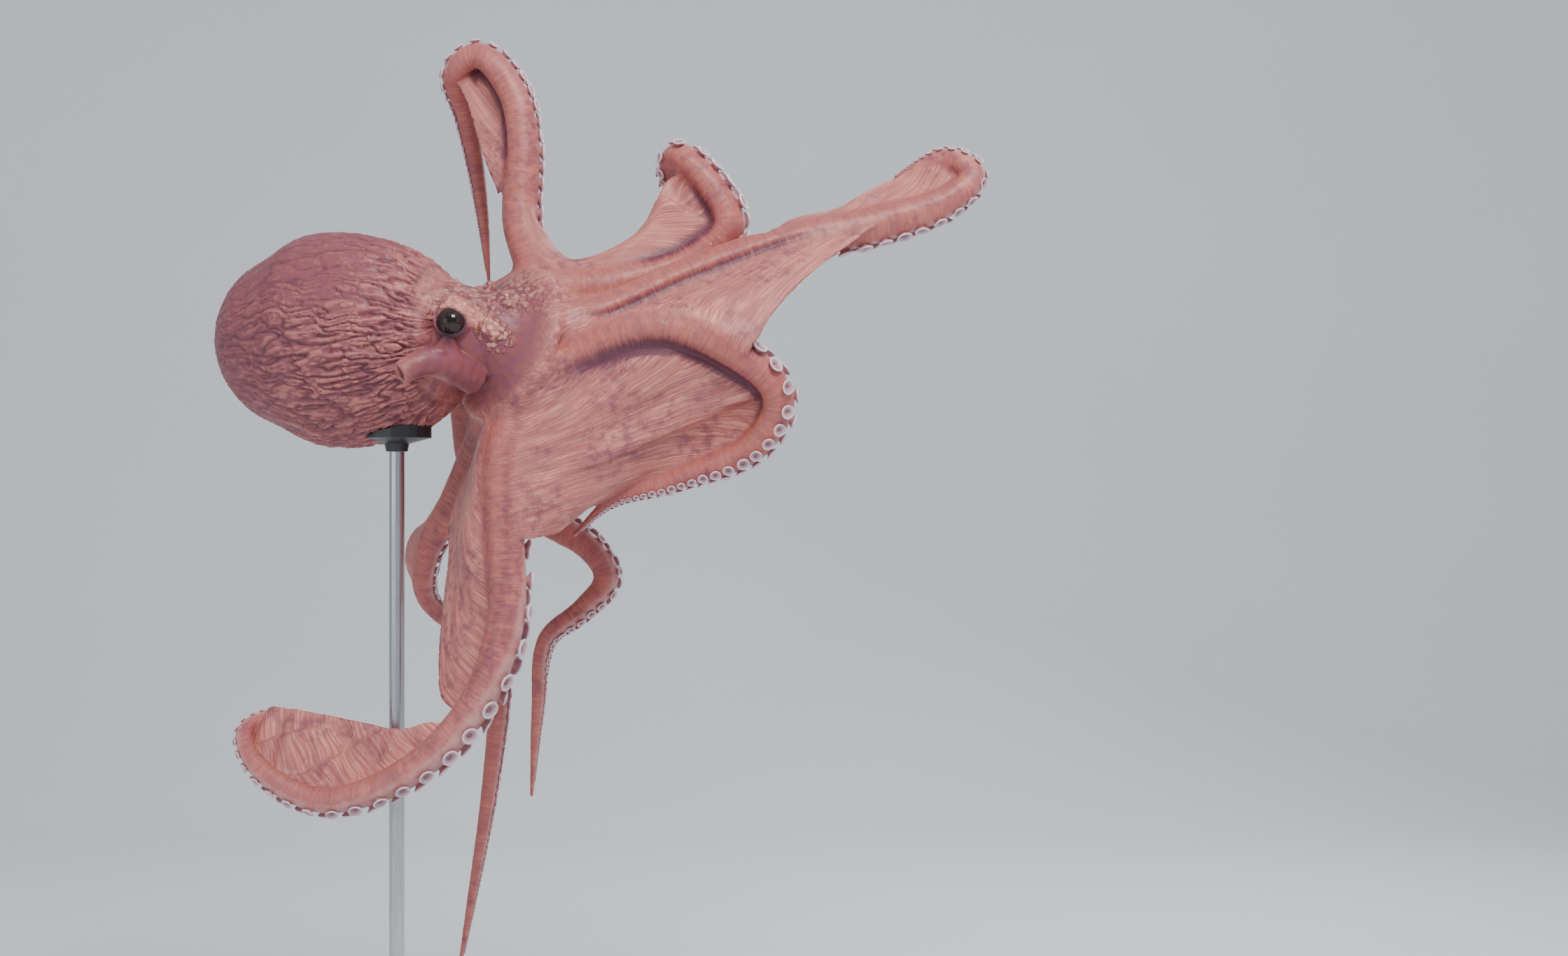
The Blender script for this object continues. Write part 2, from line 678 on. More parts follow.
@dataclass
class Body:
    """The mantle, head, crown and funnel as plain blanks."""

    segments: int = 72

    def ring(self, middle: Vector, axis: Vector, up: Vector, high: float, wide: float) -> Array:
        """One oval ring of corners.

        Args:
            middle: the ring's middle.
            axis: the way the body runs there.
            up: the ring's upright direction.
            high: half height.
            wide: half width.

        Returns:
            The ring's corners.
        """
        left = np.array(up.cross(axis))
        turn = np.linspace(0, math.tau, self.segments, endpoint=False)[:, None]
        return np.array(middle) + np.array(up) * high * np.cos(turn) + left * wide * np.sin(turn)

    def mantle(self) -> Piece:
        """The egg of the mantle, carried on inside the head.

        Returns:
            The new object.
        """
        rings = []
        for angle in np.linspace(-math.pi / 2 + 0.04, math.pi / 2 - 0.04, 60):
            along = math.sin(angle) * (MANTLE_REAR if angle < 0 else MANTLE_FRONT)
            share = self.mantle_share(math.sin(angle))
            high, wide = MANTLE_HALF_HEIGHT * share, MANTLE_HALF_WIDTH * share
            ring = self.ring(Vector(), BODY_AXIS, BODY_UP, high, wide)
            low = np.minimum(ring @ np.array(BODY_UP), 0.0)[:, None] * np.array(BODY_UP)
            rings.append(ring + low * (MANTLE_BELLY - 1) + np.array(MANTLE_MIDDLE + BODY_AXIS * along))
        return loft("blank_mantle", np.array(rings))

    def mantle_share(self, place: float) -> float:
        """How full the mantle is, of its fullest.

        Args:
            place: from -1 at its rear through 0 at its fullest to 1 in front.

        Returns:
            The share.
        """
        share = math.sqrt(max(0.0, 1 - place * place))
        if place < 0:
            return share ** MANTLE_TAPER - MANTLE_DIP * math.exp(-((-place - 0.45) / 0.2) ** 2)
        return share ** MANTLE_FULLNESS

    def head_course(self, steps: int) -> list:
        """Middles, axes, ups and half sizes of the head from the mantle to the crown.

        Args:
            steps: how many lengths the head is cut into.

        Returns:
            One tuple for each ring.
        """
        start = MANTLE_MIDDLE + BODY_AXIS * MANTLE_CUT
        end = CROWN_MIDDLE - MOUTH_AXIS * CROWN_BACK
        reach = (end - start).length
        rings = []
        stations = np.linspace(0, 1, len(HEAD_HALF_HEIGHT))
        for u in np.linspace(-0.12, 1.25, steps):
            held = min(max(u, 0.0), 1.0)
            a = held * held * (3 - 2 * held)
            middle = (start * (1 - a) + end * a + BODY_AXIS * (reach * held * (1 - held) ** 2)
                      + MOUTH_AXIS * (reach * held * held * (held - 1)))
            middle += BODY_AXIS * (reach * min(u, 0.0)) + MOUTH_AXIS * (reach * max(u - 1, 0.0))
            axis = BODY_AXIS.lerp(MOUTH_AXIS, held).normalized()
            up = BODY_UP.lerp(CROWN_UP, held)
            up = (up - axis * up.dot(axis)).normalized()
            rings.append((middle, axis, up, np.interp(held, stations, HEAD_HALF_HEIGHT),
                          np.interp(held, stations, HEAD_HALF_WIDTH)))
        return rings

    def head(self) -> Piece:
        """The head and neck, running a little into the mantle and the crown."""
        rings = [self.ring(*station) for station in self.head_course(40)]
        return loft("blank_head", np.array(rings))

    def crown(self) -> Piece:
        """The rounded ring of muscle with the mouth hollowed into it.

        Returns:
            The new object.
        """
        levels = ((-CROWN_BACK, 0.047), (-0.026, 0.058), (-0.016, 0.0675), (0.0, 0.069), (0.018, 0.068),
                  (0.026, 0.062), (0.029, 0.050), (0.027, 0.036), (0.0225, 0.024), (0.019, 0.014),
                  (0.016, 0.0105))
        return self.turned("blank_crown", levels)

    def turned(self, name: str, levels: tuple) -> Piece:
        """A round solid about the mouth's axis.

        Args:
            name: the object's name.
            levels: the depth along the axis and the radius of each ring.

        Returns:
            The new object.
        """
        rings = [self.ring(CROWN_MIDDLE + MOUTH_AXIS * depth, MOUTH_AXIS, CROWN_UP, radius, radius)
                 for depth, radius in levels]
        return loft(name, np.array(rings))

    def collar(self) -> Piece:
        """The flare of the head's skin over the arms' roots.

        Returns:
            The new object.
        """
        levels = ((-0.086, 0.046), (-0.070, 0.054), (-0.055, 0.063), (-0.044, 0.074), (-0.036, 0.087),
                  (-0.029, 0.101), (-0.022, 0.109), (-0.012, 0.106), (-0.008, 0.080))
        return self.turned("blank_collar", levels)

    def lobes(self) -> list:
        """The two soft knobs on top of the head.

        Returns:
            The new objects.
        """
        made = []
        for k, (place, size) in enumerate(LOBES):
            deselect()
            bpy.ops.mesh.primitive_uv_sphere_add(segments=36, ring_count=20, radius=1.0)
            lobe = bpy.context.active_object
            lobe.name = f"blank_lobe_{k}"
            for corner in lobe.data.vertices:
                corner.co = Vector(place) + Vector(x * y for x, y in zip(corner.co, size))
            made.append(lobe)
        return made

    def funnel(self) -> Piece:
        """The funnel: a soft tube with an open, rounded mouth.

        Returns:
            The new object.
        """
        middles, radii = funnel_line(24)
        ahead = unit(np.gradient(middles, axis=0))
        outside = [self.tube_ring(m, a, r) for m, a, r in zip(middles, ahead, radii)]
        lip = [self.tube_ring(middles[-1] + ahead[-1] * 0.0015, ahead[-1], radii[-1] * 0.88)]
        inside = [self.tube_ring(middles[-1 - k], ahead[-1 - k], radii[-1 - k] * 0.62)
                  for k in range(0, 9, 2)]
        return loft("blank_funnel", np.array(outside + lip + inside))

    def tube_ring(self, middle: Array, ahead: Array, radius: float) -> Array:
        """A ring of the funnel, a little flatter than it is wide.

        Args:
            middle: the ring's middle.
            ahead: the way the funnel runs.
            radius: the ring's radius.

        Returns:
            The ring's corners.
        """
        ahead = Vector(ahead)
        up = (Vector((0, 0, 1)) - ahead * ahead.z).normalized()
        return self.ring(Vector(middle), ahead, up, radius, radius * 0.9)

    def blanks(self) -> list:
        """All the blanks of the body."""
        return [self.mantle(), self.head(), self.crown(), self.collar(), self.funnel()] + self.lobes()


@dataclass
class Eye:
    """One eye: a ball with a level slit pupil, in a socket with lids."""

    name: str
    middle: Vector
    gaze: Vector
    radius: float = 0.0195

    def axes(self) -> tuple:
        """The gaze, the level direction along the pupil and the upright one.

        Returns:
            Three directions of length 1.
        """
        gaze = self.gaze.normalized()
        level = Vector((0, 0, 1)).cross(gaze).normalized()
        return gaze, level, gaze.cross(level)

    def mound(self) -> Piece:
        """The swelling of the head round the eye.

        Returns:
            The new object.
        """
        gaze, level, up = self.axes()
        rings = []
        for angle in np.linspace(0.05, math.pi - 0.05, 30):
            turn = np.linspace(0, math.tau, 48, endpoint=False)[:, None]
            reach = self.radius * (1.36 + 0.10 * np.sin(turn))
            rings.append(np.array(self.middle) + np.array(gaze) * math.cos(angle) * self.radius * 1.22
                         + (np.array(level) * np.cos(turn) + np.array(up) * np.sin(turn))
                         * math.sin(angle) * reach)
        return loft(f"blank_mound_{self.name}", np.array(rings))

    def shape_lids(self, points: Array) -> Array:
        """Moves the skin round the eye into lids and a socket.

        Args:
            points: places of the skin's corners.

        Returns:
            The places, with those near the eye moved.
        """
        gaze, level, up = (np.array(axis) for axis in self.axes())
        ray = points - np.array(self.middle)
        reach = np.linalg.norm(ray, axis=1)
        ray = ray / np.maximum(reach, 1e-9)[:, None]
        forward = ray @ gaze
        x, z = ray @ level, ray @ up
        from_gaze = np.arccos(np.clip(forward, -1, 1))
        bearing = np.arctan2(z, x)
        opening = 1 / np.sqrt((np.cos(bearing) / 1.20) ** 2 + (np.sin(bearing) / 1.00) ** 2)
        opening = opening - 0.30 * np.exp(-((bearing - 0.80) / 0.60) ** 2)
        outside = (from_gaze - opening) / 0.34
        above = smoothstep(-0.1, 0.8, z - 0.45 * x)
        lid = 1.05 + 0.13 * smoothstep(0.0, 1.0, outside) + 0.12 * above * smoothstep(-0.1, 0.9, outside)
        rim = (0.012 + 0.060 * above) * np.exp(-((outside - 0.42) / 0.34) ** 2)
        wanted = np.where(outside < 0, 0.93, 0.93 + (lid + rim - 0.93) * smoothstep(0.0, 0.16, outside))
        crease = (0.065 * np.exp(-((outside - 1.15) / 0.20) ** 2)
                  + 0.045 * np.exp(-((outside - 1.9) / 0.2) ** 2))
        wanted = (wanted - crease) * self.radius
        near = (1 - smoothstep(1.3, 2.6, outside)) * (reach < self.radius * 2.2)
        near = near * smoothstep(-0.1, 0.25, forward)
        moved = reach * (1 - near) + wanted * near
        return np.array(self.middle) + ray * moved[:, None]

    def seen(self, points: Array) -> tuple:
        """Where places lie from the eye, in its radii.

        Args:
            points: places of the skin's corners.

        Returns:
            How far each lies along the level, the upright and the gaze, and how far off.
        """
        gaze, level, up = (np.array(axis) for axis in self.axes())
        ray = (points - np.array(self.middle)) / self.radius
        return ray @ level, ray @ up, ray @ gaze, np.linalg.norm(ray, axis=1)

    def socket(self, points: Array) -> Array:
        """How deep each place lies in the eye's opening, from 0 outside to 1 inside.

        Args:
            points: places of the skin's corners.

        Returns:
            One number for each place.
        """
        x, z, ahead, apart = self.seen(points)
        oval = np.hypot((x - 0.06) / 1.12, (z + 0.18) / 1.06)
        near = 1 - smoothstep(1.7, 2.1, apart)
        return smoothstep(0.0, 0.4, ahead) * near * (1 - smoothstep(0.74, 1.04, oval))

    def brow(self, points: Array) -> Array:
        """The bright raised skin over the eye and beside it, from 0 to 1.

        Args:
            points: places of the skin's corners.

        Returns:
            One number for each place.
        """
        x, z, ahead, apart = self.seen(points)
        run = np.clip((x * 2.7 - (z - 1.35) * 1.9) / (2.7 ** 2 + 1.9 ** 2), 0, 1)
        aside = np.hypot(x - 2.7 * run, z - 1.35 + 1.9 * run)
        near = 1 - smoothstep(3.4, 4.2, apart)
        return (1 - smoothstep(0.20, 0.85, aside)) * near * smoothstep(-2.4, -1.8, ahead)

    def pebbled(self, points: Array) -> Array:
        """The cluster of round papillae where the brow ends, from 0 to 1.

        Args:
            points: places of the skin's corners.

        Returns:
            One number for each place.
        """
        level, up, ahead, apart = self.seen(points)
        x, z = level - 2.7, up + 0.7
        aside = np.hypot((x - z) / 2.1, (x + z) / 1.5)
        return (1 - smoothstep(0.35, 1.25, aside)) * smoothstep(-3.6, -2.8, ahead)

    def ball(self) -> Piece:
        """The eyeball, with its clear front swelling a little.

        Returns:
            The new object.
        """
        deselect()
        bpy.ops.mesh.primitive_uv_sphere_add(segments=64, ring_count=40, radius=self.radius)
        ball = bpy.context.active_object
        ball.name = f"eyeball_{self.name}"
        gaze, level, up = self.axes()
        for corner in ball.data.vertices:
            place = corner.co.copy()
            swell = 1 + 0.035 * max(0.0, place.z / self.radius) ** 4
            corner.co = self.middle + (level * place.x + up * place.y + gaze * place.z) * swell
        ball.data.update()
        turn_outward(ball.data)
        bpy.ops.object.shade_smooth()
        return ball


class Area(Enum):
    """Parts of the skin that look different; each is a mask stored on the skin."""

    MANTLE = "mantle"
    HEAD = "head"
    CREST = "crest"
    SUCKER_SIDE = "sucker_side"
    WEB = "web"
    SOCKET = "socket"
    BROW = "brow"
    ARM = "arm"
    GROOVE = "groove"
    FUNNEL = "funnel"
    FLAP = "flap"
    PEBBLE = "pebble"
    HOLLOW = "hollow"


@dataclass
class Anatomy:
    """Tells for any place on the skin which part of the animal it belongs to."""

    arms: dict
    webs: list
    body: Body
    eyes: list
    order: list = field(init=False)
    count: int = field(init=False)
    tree: KDTree = field(init=False)

    def __post_init__(self) -> None:
        """Puts the rings of all the arms in one search tree."""
        self.order = list(self.arms.values())
        self.count = RINGS * FINE + 1
        self.tree = KDTree(self.count * len(self.order))
        for k, arm in enumerate(self.order):
            for i, middle in enumerate(arm.middles):
                self.tree.insert(middle, k * self.count + i)
        self.tree.balance()

    def arm_place(self, points: Array) -> dict:
        """Where each place lies on its nearest arm.

        Args:
            points: places of the skin's corners.

        Returns:
            Arrays: arm, ring, across, mouthward and reach, the last three as shares of
            the arm's half sizes.
        """
        found = np.array([self.tree.find(p)[1] for p in points.tolist()])
        arm_number, ring = np.divmod(found, self.count)
        stack = {key: np.stack([getattr(arm, key) for arm in self.order])
                 for key in ("middles", "along", "across", "mouthward", "sizes")}
        offset = points - stack["middles"][arm_number, ring]
        size = stack["sizes"][arm_number, ring]
        across = np.einsum("ij,ij->i", offset, stack["across"][arm_number, ring]) / (ARM_HALF_WIDTH * size)
        out = np.einsum("ij,ij->i", offset, stack["mouthward"][arm_number, ring]) / (ARM_HALF_HEIGHT * size)
        ahead = np.einsum("ij,ij->i", offset, stack["along"][arm_number, ring])
        lengths = np.array([arm.length for arm in self.order])[arm_number]
        return {"arm": arm_number, "ring": ring / FINE, "across": across, "mouthward": out, "size": size,
                "reach": np.hypot(across, out), "travelled": ring / FINE / RINGS * lengths + ahead}

    def from_funnel(self, points: Array) -> Array:
        """Distance of each place from the funnel's middle line, in the funnel's radii.

        Args:
            points: places of the skin's corners.

        Returns:
            One number for each place.
        """
        middles, radii = funnel_line(12)
        apart = np.linalg.norm(points[:, None, :] - middles[None], axis=2) / radii[None]
        return apart.min(axis=1)

    def flap(self, points: Array) -> Array:
        """The raised lip of the mantle over the funnel, from 0 to 1.

        Args:
            points: places of the skin's corners.

        Returns:
            One number for each place.
        """
        samples, length = smooth_course([Vector(p) * MM for p in FLAP], 16)
        middles = np.array([point for point, share in samples])
        apart = np.linalg.norm(points[:, None, :] - middles[None], axis=2).min(axis=1)
        return 1 - smoothstep(0.004, 0.013, apart)

    def groove(self, place: dict) -> Array:
        """How deep each place lies in the furrow along its arm, from 0 to 1.

        Args:
            place: what arm_place gives.

        Returns:
            One number for each place.
        """
        depth = np.zeros(len(place["arm"]))
        for k, arm in enumerate(self.order):
            middle, width, strength, first, last = GROOVES.get(arm.name, (0.0, 1.0, 0.0, 0.0, 1.0))
            here = (place["arm"] == k) & (place["mouthward"] < 0.3)
            across = np.exp(-((place["across"][here] - middle) / width) ** 2)
            ring = place["ring"][here]
            ends = smoothstep(first - 1.5, first + 2.0, ring) * (1 - smoothstep(last - 2.0, last + 1.5, ring))
            depth[here] = strength * across * ends
        return depth

    def read(self, points: Array) -> dict:
        """All the masks and running measures of the skin at some places.

        Args:
            points: places of the skin's corners.

        Returns:
            One array for each Area, and the arm_place arrays.
        """
        place = self.arm_place(points)
        ray = points - np.array(MANTLE_MIDDLE)
        t = ray @ np.array(BODY_AXIS)
        h = ray @ np.array(BODY_UP)
        w = ray @ np.array(BODY_UP.cross(BODY_AXIS))
        reach = np.where(t < 0, MANTLE_REAR, MANTLE_FRONT)
        fullness = np.sqrt(np.clip(1 - (t / reach) ** 2, 0, 1))
        fullness = np.where(t > 0, np.maximum(fullness, 0.62), np.maximum(fullness, 0.25))
        oval = np.hypot(h / MANTLE_HALF_HEIGHT, w / MANTLE_HALF_WIDTH) / fullness
        mantle = (1 - smoothstep(1.14, 1.26, oval)) * (1 - smoothstep(0.140, 0.182, t)) * (t > -0.25)
        crown_ray = points - np.array(CROWN_MIDDLE)
        depth = crown_ray @ np.array(MOUTH_AXIS)
        from_crown = np.linalg.norm(crown_ray, axis=1)
        arm = (1 - smoothstep(1.00, 1.45, place["reach"])) * smoothstep(0.2, 2.2, place["ring"])
        arm = arm * (1 - mantle)
        head = smoothstep(0.140, 0.182, t) * (oval < 2.6) * (1 - smoothstep(-0.045, -0.012, depth))
        head = head * (1 - smoothstep(0.095, 0.120, np.minimum(
            from_crown, np.linalg.norm(points - np.array(self.eyes[0].middle), axis=1))))
        funnel = 1 - smoothstep(1.05, 1.35, self.from_funnel(points))
        funnel = funnel * (1 - smoothstep(0.0, 0.02, h + 0.03))
        mantle = mantle * (1 - funnel)
        funnel = funnel * (1 - smoothstep(-0.052, -0.030, points[:, 0]))
        head = head * (1 - funnel)
        facing = place["mouthward"] / np.maximum(place["reach"], 0.2)
        mouth = (1 - smoothstep(0.062, 0.075, from_crown)) * smoothstep(0.005, 0.02, depth)
        sucker_side = np.maximum(arm * smoothstep(0.15, 0.55, facing), mouth)
        crest = arm * smoothstep(0.15, 0.85, -facing)
        socket = np.max([eye.socket(points) for eye in self.eyes], axis=0)
        brow = np.max([eye.brow(points) for eye in self.eyes], axis=0)
        web = (1 - mantle) * (1 - head) * (1 - arm) * (1 - funnel)
        pebble = np.max([eye.pebbled(points) for eye in self.eyes], axis=0)
        pebble = np.maximum(pebble, 0.45 * smoothstep(0.020, 0.050, h))
        place.update({Area.MANTLE: mantle * (1 - head), Area.HEAD: head * (1 - mantle), Area.CREST: crest,
                      Area.SUCKER_SIDE: sucker_side, Area.WEB: web, Area.SOCKET: socket, Area.BROW: brow,
                      Area.ARM: arm, Area.PEBBLE: pebble * head * (1 - mantle) * (1 - socket),
                      Area.FUNNEL: funnel, Area.FLAP: self.flap(points) * (1 - funnel),
                      Area.GROOVE: self.groove(place) * (1 - mantle) * (1 - head),
                      "arm_share": arm, "t": t, "h": h, "w": w})
        return place


@dataclass
class Relief:
    """The relief of living skin: wrinkles, papillae, fibres and cross folds."""

    anatomy: Anatomy
    wrinkle_height: float = 0.0036
    pebble_height: float = 0.0007
    papilla_height: float = 0.0020
    brow_height: float = 0.0075
    flap_height: float = 0.0070
    groove_depth: float = 0.0045
    fibre_height: float = 0.0007

    def wrinkles(self, place: dict, points: Array) -> Array:
        """Long wrinkles on the mantle that run together towards the eye.

        Args:
            place: what Anatomy.read gives.
            points: places of the skin's corners.

        Returns:
            Heights from -1 to 1.
        """
        turn = np.arctan2(place["w"], place["h"])
        bend = Noise(SEED + 1).at(points / 0.050)[:, None]
        fine = Noise(SEED + 7).at(points / 0.016)[:, None]
        across = np.stack([np.cos(turn), np.sin(turn)], axis=1) * 0.105 / 0.0086
        run = place["t"][:, None] / 0.050
        lie = np.concatenate([across + 0.7 * bend + 0.16 * fine, run + 0.4 * bend + 0.2 * fine], axis=1)
        fold = np.clip(np.abs(Noise(SEED + 2).at(lie)) * 3.4, 0, 1)
        small = np.clip(np.abs(Noise(SEED + 8).at(lie * np.array([1.9, 1.9, 2.3]) + 9.0)) * 3.0, 0, 1)
        return np.sqrt(fold) * (0.62 + 0.38 * small) * 2 - 1

    def mantle_strength(self, place: dict) -> Array:
        """How strong the wrinkles are: deep by the head and low down, faint on top at the rear.

        Args:
            place: what Anatomy.read gives.

        Returns:
            Shares from 0 to 1.
        """
        forward = smoothstep(-0.16, 0.12, place["t"])
        top = smoothstep(0.045, 0.125, place["h"]) * (1 - smoothstep(0.06, 0.14, place["t"]))
        return (0.30 + 0.70 * forward) * (1 - 0.70 * top)

    def apply(self, points: Array, normals: Array) -> tuple:
        """Raises and lowers the skin along its normals.

        Args:
            points: places of the skin's corners.
            normals: the skin's directions there.

        Returns:
            The new places, and how hollow each is from 0 on a crest to 1 in a groove.
        """
        place = self.anatomy.read(points)
        height = np.zeros(len(points))
        hollow = np.full(len(points), 0.35)
        mantle = np.flatnonzero(place[Area.MANTLE] > 0.01)
        part = {key: value[mantle] for key, value in place.items()}
        strength = self.mantle_strength(part)
        rise = self.wrinkles(part, points[mantle])
        pebble = 1 - np.clip(Noise(SEED + 9).cells(points[mantle] / 0.0058) / 0.6, 0, 1) ** 2
        lift = strength * self.wrinkle_height * (rise - 0.5) + self.pebble_height * pebble
        height[mantle] += part[Area.MANTLE] * lift
        hollow[mantle] = 0.5 - 0.5 * rise * (0.30 + 0.70 * strength) - 0.16 * (pebble - 0.5) * (1 - strength)
        head = np.flatnonzero(place[Area.HEAD] * (1 - place[Area.SOCKET]) > 0.01)
        large = np.clip(1 - (Noise(SEED + 11).cells(points[head] / 0.0130) / 0.66) ** 2, 0, 1)
        top = smoothstep(0.020, 0.060, place["h"][head])
        bumps = large * (0.35 + 0.65 * top)
        strength = place[Area.HEAD][head] * (1 - place[Area.SOCKET][head])
        height[head] += strength * self.papilla_height * (bumps - 0.4)
        hollow[head] = np.clip(0.75 - 0.65 * bumps, 0, 1)
        arms = np.flatnonzero(place["arm_share"] > 0.02)
        self.arm_relief(place, arms, height, hollow)
        height += place[Area.BROW] * (1 - place[Area.SOCKET]) * self.brow_height
        height += place[Area.FLAP] * self.flap_height
        height -= place[Area.GROOVE] * self.groove_depth
        webs = np.flatnonzero(place[Area.WEB] > 0.05)
        broad = Noise(SEED + 6).at(points[webs] / 0.05)
        height[webs] += place[Area.WEB][webs] * 0.0010 * broad
        moved = points + normals * height[:, None]
        for eye in self.anatomy.eyes:
            moved = eye.shape_lids(moved)
        return moved, np.clip(hollow, 0, 1)

    def arm_relief(self, place: dict, arms: Array, height: Array, hollow: Array) -> None:
        """Adds fibres along the arms' backs and cross folds on their sucker sides.

        Args:
            place: what Anatomy.read gives.
            arms: numbers of the corners on arms.
            height: heights, added to in place.
            hollow: hollowness, changed in place.
        """
        run = place["travelled"][arms]
        turn = np.arctan2(place["across"][arms], -place["mouthward"][arms])
        size = place["size"][arms]
        ring = np.stack([np.cos(turn), np.sin(turn)], axis=1) * (size * 0.026 / 0.0045)[:, None]
        lie = np.concatenate([ring, run[:, None] / 0.009 + place["arm"][arms][:, None] * 31.0], axis=1)
        skin = Noise(SEED + 4).ridges(lie, 2) - 0.6
        share = place["arm_share"][arms]
        crest = place[Area.CREST][arms]
        height[arms] += share * (0.35 + 0.65 * crest) * self.fibre_height * 2.4 * skin * size ** 0.5
        lie = np.stack([run / 0.012, turn * 1.2, place["arm"][arms] * 7.0], axis=1)
        folds = Noise(SEED + 5).ridges(lie, 1)
        side = place[Area.SUCKER_SIDE][arms]
        height[arms] += share * side * self.fibre_height * 2.0 * (folds - 0.7) * size
        hollow[arms] = np.clip(0.45 - 1.3 * skin, 0, 1)


@dataclass
class Skin:
    """The one skin of the whole animal."""

    anatomy: Anatomy
    folds: list
    voxel: float = 0.0014
    most_triangles: int = 196000
    softening: int = 110

    def blanks(self) -> list:
        """Every plain blank that the skin is made from.

        Returns:
            The new objects.
        """
        made = [arm.blank() for arm in self.anatomy.order]
        made += [web.blank() for web in self.anatomy.webs]
        made += [fold.blank() for fold in self.folds]
        made += self.anatomy.body.blanks()
        made += [eye.mound() for eye in self.anatomy.eyes]
        return made

    def build(self) -> Piece:
        """Joins the blanks into one surface and works it into skin.

        Returns:
            The skin.
        """
        blanks = self.blanks()
        deselect()
        for blank in blanks:
            blank.select_set(True)
        bpy.context.view_layer.objects.active = blanks[0]
        bpy.ops.object.join()
        skin = bpy.context.active_object
        skin.name = "skin"
        skin.data.name = "skin"
        self.modify(skin, "REMESH", mode="VOXEL", voxel_size=self.voxel * 1.0)
        log.info("remeshed: %d corners", len(skin.data.vertices))
        self.soften(skin)
        points, normals = self.read(skin)
        moved = Relief(self.anatomy).apply(points, normals)[0]
        skin.data.vertices.foreach_set("co", moved.astype(np.float32).ravel())
        skin.data.update()
        self.thin(skin)
        self.mark(skin)
        skin.data.polygons.foreach_set("use_smooth", np.ones(len(skin.data.polygons), dtype=bool))
        return skin

    def modify(self, skin: Piece, kind: str, **values: object) -> None:
        """Adds a modifier and applies it.

        Args:
            skin: the object.
            kind: the modifier's type.
            **values: the modifier's settings.
        """
        deselect()
        skin.select_set(True)
        bpy.context.view_layer.objects.active = skin
        step = skin.modifiers.new(kind.lower(), kind)
        for key, value in values.items():
            setattr(step, key, value)
        bpy.ops.object.modifier_apply(modifier=step.name)

    def read(self, skin: Piece) -> tuple:
        """The places and normals of the skin's corners.

        Args:
            skin: the object.

        Returns:
            Two arrays of rows of three.
        """
        count = len(skin.data.vertices)
        points = np.empty(count * 3, dtype=np.float32)
        normals = np.empty(count * 3, dtype=np.float32)
        skin.data.vertices.foreach_get("co", points)
        skin.data.vertex_normals.foreach_get("vector", normals)
        return points.reshape(-1, 3).astype(float), normals.reshape(-1, 3).astype(float)

    def group(self, skin: Piece, name: str, weights: Array) -> None:
        """Stores weights in steps of a twentieth as a vertex group.

        Args:
            skin: the object.
            name: the group's name.
            weights: one weight for each corner.
        """
        made = skin.vertex_groups.new(name=name)
        steps = np.round(np.clip(weights, 0, 1) * 20).astype(int)
        for step in range(1, 21):
            made.add(np.flatnonzero(steps == step).tolist(), step / 20, "REPLACE")

    def soften(self, skin: Piece) -> None:
        """Smooths the joins, most at the crown and where webs leave the arms.

        Args:
            skin: the object.
        """
        points, normals = self.read(skin)
        place = self.anatomy.arm_place(points)
        from_crown = np.linalg.norm(points - np.array(CROWN_MIDDLE), axis=1)
        joins = np.exp(-((place["reach"] - 1.10) / 0.60) ** 2) * smoothstep(0.30, 0.55, place["size"])
        back = 1 - smoothstep(-0.30, 0.25, place["mouthward"])
        weights = np.maximum(1 - smoothstep(0.100, 0.175, from_crown), joins * back)
        depth = (points - np.array(CROWN_MIDDLE)) @ np.array(MOUTH_AXIS)
        weights = weights * smoothstep(-0.085, -0.050, depth)
        weights = weights * smoothstep(1.2, 1.9, self.anatomy.from_funnel(points))
        for middle, size in LOBES:
            apart = np.linalg.norm((points - np.array(middle)) / np.array(size), axis=1)
            weights = weights * smoothstep(1.05, 1.45, apart)
        self.group(skin, "joins", weights)
        self.modify(skin, "SMOOTH", factor=0.9, iterations=self.softening, vertex_group="joins")
        self.modify(skin, "SMOOTH", factor=0.5, iterations=3)
        skin.vertex_groups.clear()

    def thin(self, skin: Piece) -> None:
        """Takes corners away where the skin is plain, and keeps them on the head.

        Args:
            skin: the object.
        """
        points, normals = self.read(skin)
        eye = np.array(self.anatomy.eyes[0].middle)
        near_eye = 1 - smoothstep(0.04, 0.11, np.linalg.norm(points - eye, axis=1))
        shown = smoothstep(0.3, -0.5, normals[:, 1])
        self.group(skin, "spare", np.clip(1.0 - 0.75 * near_eye - 0.35 * shown, 0.05, 1))
        triangles = sum(len(face.vertices) - 2 for face in skin.data.polygons)
        self.modify(skin, "DECIMATE", ratio=self.most_triangles / triangles, vertex_group="spare",
                    vertex_group_factor=1.0)
        skin.vertex_groups.clear()
        log.info("thinned: %d faces", len(skin.data.polygons))

    def mark(self, skin: Piece) -> None:
        """Stores the masks and the running measures that the skin's material reads.

        Args:
            skin: the object.
        """
        points, normals = self.read(skin)
        place = self.anatomy.read(points)
        hollow = Relief(self.anatomy).apply(points, normals)[1]
        values = {area.value: place[area] for area in Area if area is not Area.HOLLOW}
        values[Area.HOLLOW.value] = hollow
        for name, numbers in values.items():
            layer = skin.data.attributes.new(name, "FLOAT", "POINT")
            layer.data.foreach_set("value", numbers.astype(np.float32))
        lie = self.lie(points, place)
        layer = skin.data.attributes.new("lie", "FLOAT_VECTOR", "POINT")
        layer.data.foreach_set("vector", lie.astype(np.float32).ravel())

